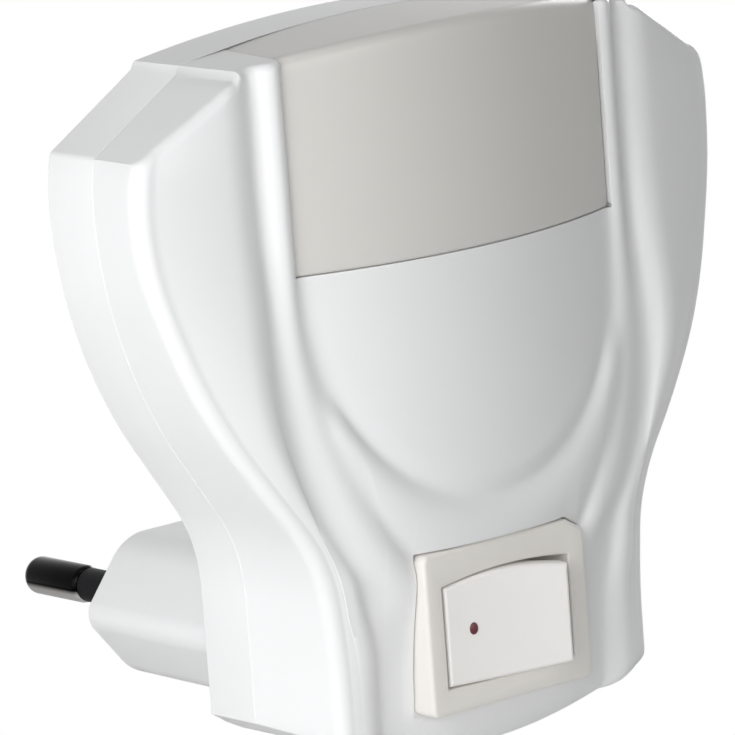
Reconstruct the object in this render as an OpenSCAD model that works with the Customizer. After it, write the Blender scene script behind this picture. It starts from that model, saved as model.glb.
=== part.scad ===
// Plug-in night light: a flat plug body with two round pins, a two-part white housing,
// a milky lens that wraps over the top, and a rocker switch below the lens.
// Millimetres. The origin is the middle of the plug face, between the pins.
// +Y points into the wall, +Z up, and -Y into the room.

/* [Housing outline] */
// Half of the widest width, at the shoulders
shoulder_half_w = 37.1; // [35.5:0.1:39]
// Height of the widest place above the pins
shoulder_z = 48.8; // [48:0.1:51.5]
// Half of the width of the neck around the switch
neck_half_w = 22.1; // [21.5:0.1:23.5]
// Height where the straight neck ends
neck_z = 6.8; // [6:0.1:9.5]
// Radius of the inward curve above the neck
neck_r = 16; // [11:0.1:17]
// Lean of the side walls between neck and shoulder, in degrees
flare_angle = 33.5; // [32.8:0.1:36]
// Half of the width of the hood on top
hood_half_w = 25.2; // [24.9:0.1:26.5]
// Height of the hood at its ends
hood_end_z = 60.6; // [60:0.1:61.2]
// Height of the hood in the middle
hood_crown_z = 62.6; // [62:0.1:64]
// Height of the small step at each end of the hood
hood_step_h = 0.8; // [0.5:0.1:1.3]
// Fall of the shoulder below the hood, per unit of width
shoulder_fall = 0.605; // [0.55:0.005:0.63]
// Depth of the lowest point below the pins
base_z = -11.2; // [-12.5:0.1:-11]
// Radius of the arc of the bottom edge
base_arc_r = 66; // [60:1:90]
// Thickness of the walls of both housing halves
wall = 1.8; // [1.6:0.1:2]
// Depth of the rear half, from its back to the parting line
rear_depth = 7.1; // [6.6:0.1:8]
// Height of the lip that locates the front cover
lip_h = 2; // [1.5:0.1:2.5]
// Thickness of the lip
lip_t = 1.2; // [1:0.1:1.4]

/* [Front face] */
// How far the cover's sides lean out at the shoulders
lean_high = 0.7; // [0.4:0.1:1]
// How far they lean out halfway up
lean_middle = 0.35; // [0.1:0.05:0.6]
// How far they lean in at the neck
lean_low = 1.3; // [0.9:0.1:1.4]
// Depth of the cover at the shoulders, from the parting line
edge_top_d = 8; // [7.6:0.1:9]
// Depth of the cover's side edge beside the switch
edge_low_d = 11.8; // [11.4:0.1:13]
// Depth at the valley beside the lens
valley_top_d = 9; // [8.6:0.1:9.3]
// Depth at the valley above the switch
valley_mid_d = 11.8; // [11.4:0.1:12]
// Depth at the valley at the bottom
valley_low_d = 10.9; // [10.5:0.1:11.2]
// Depth at the middle of the lens and tongue
dome_d = 14.2; // [13.8:0.1:14.8]
// How far the dome falls back from its middle to the lens's side
dome_fall = 4.5; // [4:0.1:4.7]
// Height of the limbs beside lens and tongue
limb_h = 0.85; // [0.7:0.05:1.3]
// Height of the collar under the tongue
collar_h = 0.95; // [0.7:0.05:1.2]
// Radius of the front edge at the sides
edge_r = 1.7; // [1.5:0.1:4]
// Radius of the front edge along the top
rim_r = 1; // [0.6:0.1:2]
// Radius of the front edge along the bottom
base_r = 2; // [1.8:0.1:3.2]

/* [Lens] */
// Half of the width of the lens
lens_half_w = 20.9; // [20:0.1:21.2]
// Height of the lower edge of the lens
lens_z = 39.6; // [38.5:0.1:40.5]
// Thickness of the lens
lens_t = 1.8; // [1.6:0.1:1.9]
// Radius of the fold from the lens's front to its top
lens_fold_r = 1.2; // [1:0.1:2]
// How much each side of the lens narrows on top, towards the parting line
hood_taper = 1.6; // [1.2:0.1:2]
// Width of the flange that holds the lens behind the cover
lens_flange_w = 1.8; // [1.4:0.1:2]

/* [Plug] */
// Distance between the two pins
pin_pitch = 18.6; // [18:0.1:19.2]
// Diameter of the metal end of a pin
pin_d = 4; // [3.94:0.01:4.06]
// Length of a pin in front of the plug face
pin_l = 19.5; // [18.5:0.5:19.5]
// Length of the insulating sleeve in front of the plug face
sleeve_l = 10; // [9.5:0.5:10.5]
// Diameter of the insulating sleeve
sleeve_d = 3.6; // [3.4:0.1:3.8]
// Diameter of a pin inside its sleeve
pin_core_d = 2.8; // [2.6:0.1:3]
// Width of the plug body
plug_w = 35.3; // [34.5:0.1:36]
// Height of the plug body
plug_h = 15; // [14.4:0.1:15.2]
// How far the middle of the plug body lies below its pins
plug_drop = 0.3; // [0:0.1:0.4]
// Half of the width of the plug body's flat top
plug_flat_half_w = 12.2; // [12:0.1:12.8]
// Radius of the plug body's side corners
plug_corner_r = 2.4; // [1.5:0.1:3]
// Radius between the plug's flats and its slanted sides
plug_fold_r = 5; // [3:0.5:5.5]
// Length of the plug body from its face to the housing
plug_l = 24.9; // [24:0.1:26]
// Thickness of the plug face
face_t = 4; // [3.5:0.1:4.5]
// Wall of the plug body
plug_wall = 1.8; // [1.6:0.1:2]
// Diameter of the collar that stops a pin
collar_d = 6; // [5.5:0.1:6.4]
// Thickness of that collar
collar_t = 1.5; // [1.2:0.1:1.8]
// Thickness of the plate that holds the pins
retainer_t = 3; // [2.6:0.1:3.4]
// Length of a pin's tail behind the plate
tail_l = 2.5; // [2:0.1:3]

/* [Rocker switch] */
// Width of the switch's frame
frame_w = 21.4; // [21:0.1:21.8]
// Height of the switch's frame
frame_h = 16.6; // [16.4:0.1:17]
// Height of the middle of the frame above the pins
frame_z = 1.88; // [1.7:0.01:2]
// Depth at the face of the frame, from the parting line
frame_d = 14.05; // [13.8:0.05:14.4]
// Thickness of the frame's flange
flange_t = 2.95; // [2.8:0.05:3.1]
// Height of the middle of the rocker above the pins
rocker_z = 1.4; // [1.3:0.1:1.7]
// Width of the switch's body
body_w = 19.2; // [19:0.1:19.4]
// Height of the switch's body
body_h = 13.4; // [13.2:0.1:13.6]
// Depth of the switch's body behind the flange
body_l = 12.1; // [11.8:0.1:12.4]
// Half of the height of the rocker's opening at its ends
open_half_h = 5.2; // [5.05:0.05:5.25]
// How far the opening's long edges arch outwards
open_arch = 0.7; // [0.3:0.05:0.8]
// Half of the width of the rocker
rocker_half_w = 7.3; // [7.1:0.05:7.4]
// Gap between the opening's end and the pressed end of the rocker
rocker_side_gap = 0.3; // [0.2:0.05:0.4]
// Height of the rocker's face over the frame with the rocker level
rocker_proud = 1.2; // [1:0.1:1.4]
// Depth of the hollow in the rocker's face
rocker_hollow = 0.35; // [0.2:0.05:0.5]
// Depth of the pivot below the frame's face
pivot_depth = 4.3; // [4.25:0.05:4.5]
// Diameter of the rocker's pivot studs
stud_d = 2.4; // [2.2:0.1:2.6]
// Tilt of the rocker to each side of level, in degrees
rocker_tilt = 10; // [9:0.5:10.5]
// Tilt of the contact arm to each side of level, in degrees
arm_tilt = 8; // [7:0.5:9]
// Half of the length of the contact arm
arm_half_l = 7.2; // [7.1:0.1:7.5]
// Width of a contact blade
blade_w = 4.8; // [4.6:0.1:5]
// Thickness of a contact blade
blade_t = 0.8; // [0.7:0.1:0.9]
// Distance between the two contact blades
blade_pitch = 6.6; // [6.4:0.1:7]

/* [Circuit board] */
// Width of the circuit board
board_w = 32; // [30:0.5:34]
// Gap between the hood's ends and the board
board_top_gap = 4.6; // [4.4:0.1:5]
// Length of the board
board_h = 36; // [35:0.5:37]
// Thickness of the board
board_t = 1.6; // [1.5:0.1:1.7]
// Gap between the rear wall and the board
board_gap = 3.1; // [3:0.1:3.4]
// Diameter of a light-emitting diode
led_d = 5; // [4.8:0.1:5.2]
// Distance between neighbouring diodes
led_pitch = 8; // [7.5:0.1:8.5]
// Diameter of the inner leads
lead_d = 1.6; // [1.4:0.1:1.7]

/* [Fits] */
// Gap between the lens and the housing
lens_gap = 0.12; // [0.1:0.01:0.2]
// Gap between the lip and the cover
lip_gap = 0.15; // [0.1:0.01:0.25]
// Gap around the switch's frame and body
switch_gap = 0.15; // [0.1:0.01:0.2]
// Radial clearance of the rocker's studs and of the plunger
running_gap = 0.05; // [0.02:0.01:0.08]
// Gap around pieces that sit in a pocket
seat_gap = 0.1; // [0.05:0.01:0.15]

/* [Hidden] */

round_fn = 48;
small_fn = 24;
tiny = 0.01;

rear_y = -plug_l;
parting_y = rear_y - rear_depth;
wall_inner_y = rear_y - wall;

// ---- Small helpers ----
function clamp01(t) = max(0, min(1, t));
function ease(t) = let (c = clamp01(t)) c * c * (3 - 2 * c);
function mix(a, b, t) = a + (b - a) * t;
// The larger of two heights, with the crease between them filleted over k
function blend_max(a, b, k) = let (h = max(k - abs(a - b), 0) / k) max(a, b) + h * h * k / 4;
// How far a quarter-round edge of radius r has fallen at distance d from the rim
function edge_drop(d, r) = let (s = clamp01(1 - d / r)) r * (1 - sqrt(1 - s * s));
function total(v, n) = n <= 0 ? 0 : v[n - 1] + total(v, n - 1);
// Which band of a grid a line lies in, and how far along that band
function band(v, k, i = 0) = k <= v[i] || i == len(v) - 1 ? [i, k / v[i]] : band(v, k - v[i], i + 1);
function unit(v) = v / max(norm(v), tiny * tiny);
function frames(q, i = 0, u = [0, 0, 1]) = i == len(q) ? [] : let (
        t = unit(q[min(i + 1, len(q) - 1)] - q[max(i - 1, 0)]), v = unit(u - t * (u * t)))
    concat([[q[i], v, cross(t, v)]], frames(q, i + 1, v));
// A round wire along a list of points
module wire(points, d, sides, colour) {
    rings = frames(points);
    n = len(rings);
    skin = [for (f = rings) for (s = [0:sides - 1]) let (a = 360 * s / sides)
        f[0] + d / 2 * (cos(a) * f[1] + sin(a) * f[2])];
    color(colour) polyhedron(skin, concat(
        [[for (s = [0:sides - 1]) s]],
        [for (r = [0:n - 2]) for (s = [0:sides - 1]) let (a = r * sides + s, b = r * sides + (s + 1) % sides)
            for (f = [[a, a + sides, b + sides], [a, b + sides, b]]) f],
        [[for (s = [sides - 1:-1:0]) (n - 1) * sides + s]]), convexity = 6);
}
// A cylinder along Y from y0 to y1
module bar_y(d, y0, y1, x = 0, z = 0, fn = round_fn) {
    translate([x, max(y0, y1), z]) rotate([90, 0, 0]) cylinder(d = d, h = abs(y1 - y0), $fn = fn);
}
// A block centred on x and z, from y0 to y1
module block_y(w, h, y0, y1, x = 0, z = 0) {
    translate([x - w / 2, min(y0, y1), z - h / 2]) cube([w, abs(y1 - y0), h]);
}
// A flat outline in X and Z, given depth along Y from y0 to y1
module plate_y(points, y0, y1) {
    translate([0, max(y0, y1), 0]) rotate([90, 0, 0]) linear_extrude(abs(y1 - y0)) polygon(points);
}

// ---- Outline of the housing: half width at a height, top and bottom at a half width ----
flare_h = shoulder_z - neck_z;
flare_w = shoulder_half_w - neck_half_w;
shoulder_r = (tan(flare_angle) * flare_h - flare_w)
    / (tan(flare_angle) * sin(flare_angle) - 1 + cos(flare_angle)) - neck_r;
flare_top_z = shoulder_z - shoulder_r * sin(flare_angle);
flare_low_z = neck_z + neck_r * sin(flare_angle);
flare_low_x = neck_half_w + neck_r * (1 - cos(flare_angle));
corner_round = 0.5;
corner_run = 6;
// The side turns in towards the corner of the shoulder
function turned_in(z) = corner_round * (max(0, z - shoulder_z + corner_run / 3) / corner_run) ^ 2;
function side_x(z) =
    z > shoulder_z ? shoulder_half_w - turned_in(z)
    : z > flare_top_z ? shoulder_half_w - turned_in(z)
        - shoulder_r + sqrt(shoulder_r ^ 2 - (shoulder_z - z) ^ 2)
    : z > flare_low_z ? flare_low_x + (z - flare_low_z) * tan(flare_angle)
    : z > neck_z ? neck_half_w + neck_r - sqrt(neck_r ^ 2 - (z - neck_z) ^ 2)
    : neck_half_w;
function top_z(a) = a <= hood_half_w
    ? hood_crown_z - (hood_crown_z - hood_end_z) * (a / hood_half_w) ^ 2
    : hood_end_z - hood_step_h - (a - hood_half_w) * shoulder_fall;
// The bottom arc turns up towards its corners
base_turn_x = 15.5;
base_turn = 0.03;
function bottom_z(a) = base_z + a * a / (2 * base_arc_r) + base_turn * max(0, a - base_turn_x) ^ 2;
// How far the cover's side stands out from the rear half's at the front edge
lean_z = [-2, 20, 34, 44];
corner_lean = 0.65;
corner_lean_z = shoulder_z + 2.4;
corner_lean_h = 2.3;
function lean(z) = mix(-lean_low, lean_middle, ease((z - lean_z[0]) / (lean_z[1] - lean_z[0])))
    + (lean_high - lean_middle) * ease((z - lean_z[2]) / (lean_z[3] - lean_z[2]))
    - corner_lean * clamp01((z - corner_lean_z) / corner_lean_h) ^ 2;
function front_x(z) = side_x(z) + lean(z);
// Height of the outline's upper corner, with the outline moved in by w
function corner_z(w, z = 50, n = 6) = n == 0 ? z : corner_z(w, top_z(side_x(z) - w) - w, n - 1);
// Half of the outline moved in by w, from the bottom up to the top. tuck of the cover's inward lean
// is taken off too
side_steps = 28;
arc_steps = 8;
function tucked_x(z, w, tuck) = side_x(z) - w + tuck * min(0, lean(z));
function half_outline(w, tuck) = let (x0 = tucked_x(base_z, w, tuck), z0 = bottom_z(x0) + w, z1 = corner_z(w))
    concat(
        [for (i = [1:arc_steps]) let (x = x0 * i / arc_steps) [x, bottom_z(x) + w]],
        [for (i = [1:side_steps]) let (z = mix(z0, z1, i / side_steps)) [tucked_x(z, w, tuck), z]],
        [[hood_half_w - w, top_z(hood_half_w + tiny) - w]],
        [for (i = [arc_steps:-1:1]) let (x = (hood_half_w - w) * i / arc_steps) [x, top_z(x) - w]]);
function outline(w, tuck = 0) = let (h = half_outline(w, tuck), n = len(h))
    concat([[0, bottom_z(0) + w]], h, [[0, top_z(0) - w]],
        [for (i = [n - 1:-1:0]) [-h[i][0], h[i][1]]]);

// ---- Front face: depth from the parting line at a half width a and a height z ----
// Floor of the valleys
floor_top_d = 12.2;
floor_mid_d = 13.6;
floor_low_d = 11.4;
floor_z = 15;
floor_curve = 0.0053;
function floor_d(a, z) = (z > floor_z
    ? mix(floor_mid_d, floor_top_d, ease((z - floor_z) / 23))
    : mix(floor_mid_d, floor_low_d, ease((floor_z - z) / 26))) - floor_curve * a * a;
// Limbs: one raised ridge on each side, from the hood down to the switch
limb_top_x = lens_half_w + 1;
limb_bend_z = 38;
limb_low_x = 12;
limb_fade_z = -1;
function limb_x(z) = max(limb_low_x, limb_top_x - 0.0019 * max(0, limb_bend_z - z) ^ 2.5);
function limb_w(z) = 1.3 + 1.5 * ease((limb_bend_z + 2 - z) / 24);
function limb_d(a, z) = floor_d(a, z)
    + limb_h * ease((z - limb_fade_z) / 12) * (1 - ((a - limb_x(z)) / limb_w(z)) ^ 2);
// Tongue: a domed panel that ends in half an ellipse
tongue_h = 24.7;
tongue_r = 2.6;
tongue_rise = 0.7;
function tongue_out(a, z) = z > lens_z ? a - lens_half_w
    : let (n = norm([a / lens_half_w, (lens_z - z) / tongue_h]))
        n < 0.3 ? -lens_half_w / 2 : (n - 1) / n * norm([a, lens_z - z]);
function dome_reach(a, z) = dome_d + tongue_rise * ease((lens_z - z) / 22)
    - dome_fall * (a / lens_half_w) ^ 2;
function tongue_d(a, z) = let (o = tongue_out(a, z), f = floor_d(a, z), s = clamp01(1 + o / tongue_r))
    o > 0 ? f - o : f + (dome_reach(a, z) - f) * (1 - s * s) ^ 0.75;
// Collar: a rounded band around the tongue that widens towards the switch
function collar_w(z) = 1.4 + 0.144 * max(0, 25.5 - z);
function collar_d_at(a, z) = let (w = collar_w(z))
    floor_d(a, z) + collar_h * ease((31 - z) / 8) * (1 - ((tongue_out(a, z) - w) / w) ^ 2)
    - 0.5 * ease((z - 26) / 6);
// Dish: the surface between the limbs and the front edge, arched like a pillow
function edge_d(z) = mix(edge_top_d, edge_low_d, ease((shoulder_z - z) / 38));
valley_rise = 1.7;
function valley_d(z) = z > 9 ? mix(valley_top_d, valley_mid_d, ease((shoulder_z + valley_rise - z) / 41))
    : mix(valley_mid_d, valley_low_d, ease((9 - z) / 15));
function valley_x(z) = let (foot = limb_x(max(z, 9)) + limb_w(max(z, 9)) + 1)
    z > 9 ? foot : mix(15, foot, ease(z / 9));
pillow_d = 1.3;
pillow_w = 3.6;
function dish_d(a, z) = let (e = front_x(z) - edge_r, v = min(valley_x(z), e - 1.5),
        t = clamp01((a - v) / (e - v)), run = min(pillow_w, 0.65 * (e - v)), u = clamp01((a - v) / run))
    mix(valley_d(z), edge_d(z), t) + pillow_d * run / pillow_w * (1 - (1 - u) ^ 2) * (1 - t * t);
function web_d(a, z) = floor_d(a, z) - 0.25 - 3 * max(0, a - limb_x(z));
function face_d(a, z) = blend_max(blend_max(blend_max(tongue_d(a, z), collar_d_at(a, z), 0.5),
    blend_max(limb_d(a, z), web_d(a, z), 0.5), 0.5), dish_d(a, z), 0.9);
// Pocket that the flange of the switch lies in
seat_d = frame_d - flange_t;
pocket_half_w = frame_w / 2 + switch_gap;
pocket_low_z = frame_z - frame_h / 2 - switch_gap;
pocket_top_z = frame_z + frame_h / 2 + switch_gap;
pocket_draft = 0.1;
function in_pocket(a, z, w) = a < pocket_half_w + w + tiny
    && z > pocket_low_z - w - tiny && z < pocket_top_z + w + tiny;
// The cover's outer surface moved inwards by w, with its rounded edges
function skin_d(x, z, w, top_r) = let (a = abs(x), d = face_d(a, z), rim = z > 20
        ? edge_drop(top_z(a) - w - z, top_r) : edge_drop(z - w - bottom_z(a), base_r))
    (in_pocket(a, z, w) ? min(d, seat_d) : d) - w - norm([edge_drop(front_x(z) - w - a, edge_r), rim]);

// ---- Grid that the cover and the lens are sampled on ----
cut_half_w = body_w / 2 + switch_gap;
cut_low_z = frame_z - body_h / 2 - switch_gap;
cut_top_z = frame_z + body_h / 2 + switch_gap;
// Lines per band, from the middle to the side
col_n = [5, 1, 1, 5, 4, 4, 4];
// Lines per band, from the bottom to the top
row_n = [3, 1, 1, 1, 5, 1, 1, 13, 7, 3];
half_cols = total(col_n, len(col_n));
rows = total(row_n, len(row_n));
// Grid lines that follow the shape. out is 1 at the front edge and 0 at the parting line
function grid_x(k, z, w, out) = let (b = band(col_n, abs(k)),
        side = side_x(z) + out * lean(z) - w - edge_r,
        low = ease((z - pocket_top_z) / (lens_z - pocket_top_z)),
        foot = min(mix(17.6, lens_half_w + 3.7, ease((z + 2) / 34)), side - 1),
        groove = min(mix(14.5, lens_half_w, low), foot - 0.5),
        lines = [0, min(cut_half_w, groove - 0.6), min(pocket_half_w + w, groove - 0.4),
            min(pocket_half_w + w + pocket_draft, groove - 0.2), groove, foot, side])
    sign(k) * (b[0] == 6 ? lines[6] + edge_r * sin(90 * b[1]) : mix(lines[b[0]], lines[b[0] + 1], b[1]));
function grid_z(j, x, w, top_r) = let (a = abs(x), b = band(row_n, j), h = bottom_z(a) + w,
        lines = [h, h + base_r, max(pocket_low_z - w - pocket_draft, h + base_r + 0.2),
            max(pocket_low_z - w, h + base_r + 0.4), max(cut_low_z, h + base_r + 0.6),
            cut_top_z, pocket_top_z + w, pocket_top_z + w + pocket_draft, lens_z, top_z(a) - w - top_r])
    b[0] == 0 ? h + base_r * (1 - cos(90 * b[1]))
    : b[0] == 9 ? lines[9] + top_r * sin(90 * b[1])
    : mix(lines[b[0]], lines[b[0] + 1], b[1]);
// Grid lines bend with each other, so a crossing is settled in a few steps
function crossing(k, j, w, top_r, out = 1, x = 0, n = 4) = let (z = grid_z(j, x, w, top_r))
    n == 0 ? [x, z] : crossing(k, j, w, top_r, out, grid_x(k, z, w, out), n - 1);
function skin_point(k, j, w, top_r) = let (p = crossing(k, j, w, top_r))
    [p[0], parting_y - skin_d(p[0], p[1], w, top_r), p[1]];
// The lens opening narrows on top of the hood, and the cover beside it widens
draw_end_x = hood_half_w - 0.4;
draw_d = face_d(lens_half_w, top_z(lens_half_w)) - rim_r;
function drawn(x, d = 0) = let (a = abs(x),
        inside = min(a / lens_half_w, (draw_end_x - a) / (draw_end_x - lens_half_w)))
    x - sign(x) * hood_taper * clamp01(inside) * clamp01(1 - d / draw_d);
function rim_point(k, j, w, top_r, y) = let (p = crossing(k, j, w, top_r, 0), x = drawn(p[0]))
    j == rows ? [x, y, top_z(abs(x)) - w] : [p[0], y, p[1]];

cut_k = col_n[0];
lens_k = total(col_n, 4);
cut_j = [total(row_n, 4), total(row_n, 5)];
lens_j = total(row_n, 8);
function in_cut(k, j) = j >= cut_j[0] && j < cut_j[1] && k >= -cut_k && k < cut_k;
function in_lens(k, j) = j >= lens_j && k >= -lens_k && k < lens_k;
function cover_cell(k, j) = k >= -half_cols && k < half_cols && j >= 0 && j < rows
    && !in_cut(k, j) && !in_lens(k, j);

// A closed shell over grid cells. layers holds the outer skin, the inner skin, and the outer and
// inner ends of the rim, each a list over k = -nk..nk within j = 0..nj. keep[k][j] says which cells
// are solid, rim which sides of the grid carry on into the rim, and caps where that rim ends.
module shell(layers, nk, nj, keep, rim, caps) {
    stride = 2 * nk + 1;
    layer = stride * (nj + 1);
    function id(k, j, l) = l * layer + j * stride + k + nk;
    function solid(k, j) = k >= -nk && k < nk && j >= 0 && j < nj && keep[k + nk][j];
    function quad(a, b, c, d) = [[a, b, c], [a, c, d]];
    function strip(p, q, l, m) =
        quad(id(p[0], p[1], l), id(q[0], q[1], l), id(q[0], q[1], m), id(p[0], p[1], m));
    function side(p, q, on_rim) = on_rim
        ? concat(strip(p, q, 0, 2), strip(p, q, 2, 3), strip(p, q, 3, 1)) : strip(p, q, 0, 1);
    faces = [for (j = [0:nj - 1]) for (k = [-nk:nk - 1]) if (solid(k, j)) for (f = concat(
        quad(id(k, j, 0), id(k, j + 1, 0), id(k + 1, j + 1, 0), id(k + 1, j, 0)),
        quad(id(k, j, 1), id(k + 1, j, 1), id(k + 1, j + 1, 1), id(k, j + 1, 1)),
        solid(k - 1, j) ? [] : side([k, j + 1], [k, j], rim[0] && k == -nk),
        solid(k + 1, j) ? [] : side([k + 1, j], [k + 1, j + 1], rim[0] && k == nk - 1),
        solid(k, j - 1) ? [] : side([k, j], [k + 1, j], rim[1] && j == 0),
        solid(k, j + 1) ? [] : side([k + 1, j + 1], [k, j + 1], rim[2] && j == nj - 1))) f];
    ends = [for (c = caps) let (q = [for (l = [0, 2, 3, 1]) id(c[0], nj, l)])
        for (f = c[1] > 0 ? quad(q[0], q[1], q[2], q[3]) : quad(q[3], q[2], q[1], q[0])) f];
    polyhedron([for (l = layers) for (p = l) p], concat(faces, ends), convexity = 8);
}

module front_cover() {
    function over(f) = [for (j = [0:rows]) for (k = [-half_cols:half_cols]) f(k, j)];
    color("white") shell(
        [over(function(k, j) skin_point(k, j, 0, rim_r)),
            over(function(k, j) skin_point(k, j, wall, rim_r)),
            over(function(k, j) rim_point(k, j, 0, rim_r, parting_y)),
            over(function(k, j) rim_point(k, j, wall, rim_r, parting_y))],
        half_cols, rows,
        [for (k = [-half_cols:half_cols - 1]) [for (j = [0:rows - 1]) cover_cell(k, j)]],
        [true, true, true], [[-lens_k, 1], [lens_k, -1]]);
}

// The lens has the cover's own grid between its edges, and a flange of one band around them
lens_rows = row_n[8] + row_n[9];
lens_cols = lens_k + 2;
flange_drop = wall + lens_gap;
flange_top_j = row_n[8] - 1;
lens_draft = 0.04;
// A lens line: [grid line, shift from it, 1 on the flange], with the inner skin w further in
function lens_col(k, w) = let (a = abs(k), s = sign(k)) a < lens_k ? [k, 0, 0]
    : [s * lens_k, s * (a == lens_k ? -lens_gap - w : a == lens_k + 1 ? lens_draft - lens_gap - w
        : lens_flange_w), a == lens_k ? 0 : 1];
function lens_row(j, w) = j == 0 ? [0, -lens_flange_w, 1] : j == 1 ? [0, lens_gap + w - lens_draft, 1]
    : j == 2 ? [0, lens_gap + w, 0] : [j - 2, 0, 0];
function lens_point(k, j, w) = let (c = lens_col(k, w), r = lens_row(j, w),
        p = crossing(c[0], lens_j + r[0], w, lens_fold_r), x = p[0] + c[1], z = p[1] + r[1], a = abs(x),
        d = c[2] + r[2] > 0 ? face_d(a, z) - flange_drop
            : dome_reach(a, z) - edge_drop(top_z(a) - w - z, lens_fold_r))
    [drawn(x, d), parting_y + w - d, z];
function lens_rim(k, j, w) = let (c = lens_col(k, w), r = lens_row(j, w),
        p = crossing(c[0], lens_j + r[0], w, lens_fold_r), x = drawn(p[0] + c[1]))
    [x, parting_y - lens_gap, top_z(abs(x)) - w];
function lens_cell(k, j) = abs(k + 0.5) < lens_k || j < flange_top_j;
module lens() {
    nj = lens_rows + 2;
    function over(f) = [for (j = [0:nj]) for (k = [-lens_cols:lens_cols]) f(k, j)];
    color("ivory") shell(
        [over(function(k, j) lens_point(k, j, 0)), over(function(k, j) lens_point(k, j, lens_t)),
            over(function(k, j) lens_rim(k, j, 0)), over(function(k, j) lens_rim(k, j, lens_t))],
        lens_cols, nj,
        [for (k = [-lens_cols:lens_cols - 1]) [for (j = [0:nj - 1]) lens_cell(k, j)]],
        [false, false, true], [[-lens_k, -1], [lens_k, 1]]);
}

// ---- Rear half of the housing with the plug body ----
plug_half_h = plug_h / 2;
plug_corner_x = plug_w / 2 - plug_corner_r;
plug_slope = atan2(plug_half_h, plug_corner_x - plug_flat_half_w)
    - asin(plug_corner_r / norm([plug_corner_x - plug_flat_half_w, plug_half_h]));
corner_steps = 6;
// Hexagon of the plug body, moved in by w, with rounded side corners
function plug_side(w) = let (r = plug_corner_r, c = plug_corner_x - w / sin(plug_slope))
    [for (i = [-corner_steps:corner_steps]) let (t = i / corner_steps * (90 - plug_slope))
        [c + r * cos(t), r * sin(t)]];
fold_steps = 3;
function plug_fold(w) = let (r = plug_fold_r, x = plug_flat_half_w - r * tan(plug_slope / 2))
    [for (i = [0:fold_steps]) let (t = 90 - plug_slope * i / fold_steps)
        [x + (r - w) * cos(t), plug_half_h - r + (r - w) * sin(t)]];
function plug_right(w) = let (f = plug_fold(w))
    concat([for (p = f) [p[0], -p[1]]], plug_side(w), [for (i = [fold_steps:-1:0]) f[i]]);
function plug_outline(w) = let (p = plug_right(w))
    concat([for (q = p) [q[0], q[1] - plug_drop]],
        [for (i = [len(p) - 1:-1:0]) [-p[i][0], p[i][1] - plug_drop]]);

board_screw_d = 1.6;
board_screw_l = board_gap + board_t - 0.5;
post_d = 5;
pilot_d = board_screw_d + 2 * running_gap;
board_top_z = hood_end_z - board_top_gap;
board_low_z = board_top_z - board_h;
post_x = board_w / 2 - 3;
post_low_z = board_low_z + 4;
post_high_z = board_top_z - 4;
peg_d = 1.8;
board_back_y = wall_inner_y - board_gap;
board_front_y = board_back_y - board_t;
screw_post_d = 5;
retainer_front_y = -face_t - collar_t;
retainer_back_y = retainer_front_y - retainer_t;
retainer_screw_d = 2;
retainer_screw_l = retainer_t + collar_t + 1.5;
retainer_pilot_d = retainer_screw_d + 2 * running_gap;

// The lip follows the cover's inner side, which leans in at the neck
lip_tuck = lip_h / (edge_low_d - wall - edge_r);
module back_housing() {
    color("white") difference() {
        union() {
            plate_y(outline(0), rear_y, parting_y);
            plate_y(outline(wall + lip_gap, lip_tuck), parting_y + tiny, parting_y - lip_h);
            plate_y(plug_outline(0), 0, rear_y);
        }
        bar_y(retainer_pilot_d, retainer_back_y + retainer_screw_l + 0.5, -face_t - 1, fn = small_fn);
        // Hollow of the rear half, in two steps because the lip is set in
        plate_y(outline(wall + lip_gap + lip_t, lip_tuck), wall_inner_y, parting_y - lip_h - 1);
        // Hollow of the plug body
        plate_y(plug_outline(plug_wall), -face_t, wall_inner_y - 1);
        for (s = [-1, 1]) bar_y(sleeve_d + 2 * running_gap, 1, -face_t - 1, s * pin_pitch / 2);
    }
    color("white") for (s = [-1, 1]) {
        difference() {
            bar_y(post_d, rear_y - wall / 2, board_back_y, s * post_x, post_low_z);
            bar_y(pilot_d, wall_inner_y, board_back_y - 1, s * post_x, post_low_z, small_fn);
        }
        bar_y(post_d, rear_y - wall / 2, board_back_y, s * post_x, post_high_z);
        bar_y(peg_d, board_back_y, board_front_y - 1, s * post_x, post_high_z, small_fn);
    }
    // Post for the retainer's screw
    color("white") difference() {
        bar_y(screw_post_d, -face_t, retainer_front_y);
        bar_y(retainer_pilot_d, -face_t + 1, retainer_front_y - 1, fn = small_fn);
    }
}

// ---- Pins, sleeves and the plate that holds them ----
tail_d = 2.4;
pin_bevel = 0.6;
pin_tip_l = 1.5;
tail_end_y = retainer_back_y - tail_l;
module pin_at(x) {
    color("dimgray") translate([x, 0, 0]) rotate([-90, 0, 0]) rotate_extrude($fn = round_fn) polygon(concat(
        [[0, tail_end_y], [tail_d / 2, tail_end_y], [tail_d / 2, retainer_front_y],
            [collar_d / 2, retainer_front_y], [collar_d / 2, -face_t], [pin_core_d / 2, -face_t],
            [pin_core_d / 2, sleeve_l], [sleeve_d / 2, sleeve_l], [pin_d / 2, sleeve_l + pin_bevel]],
        [for (i = [0:6]) [pin_d / 2 * cos(15 * i), pin_l - pin_tip_l * (1 - sin(15 * i))]]));
}
module sleeve_at(x) {
    color("black") difference() {
        bar_y(sleeve_d, -face_t, sleeve_l, x);
        bar_y(pin_core_d + 2 * running_gap, -face_t - 1, sleeve_l + 1, x);
    }
}
module live_pin() { pin_at(-pin_pitch / 2); }
module neutral_pin() { pin_at(pin_pitch / 2); }
module live_sleeve() { sleeve_at(-pin_pitch / 2); }
module neutral_sleeve() { sleeve_at(pin_pitch / 2); }

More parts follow.
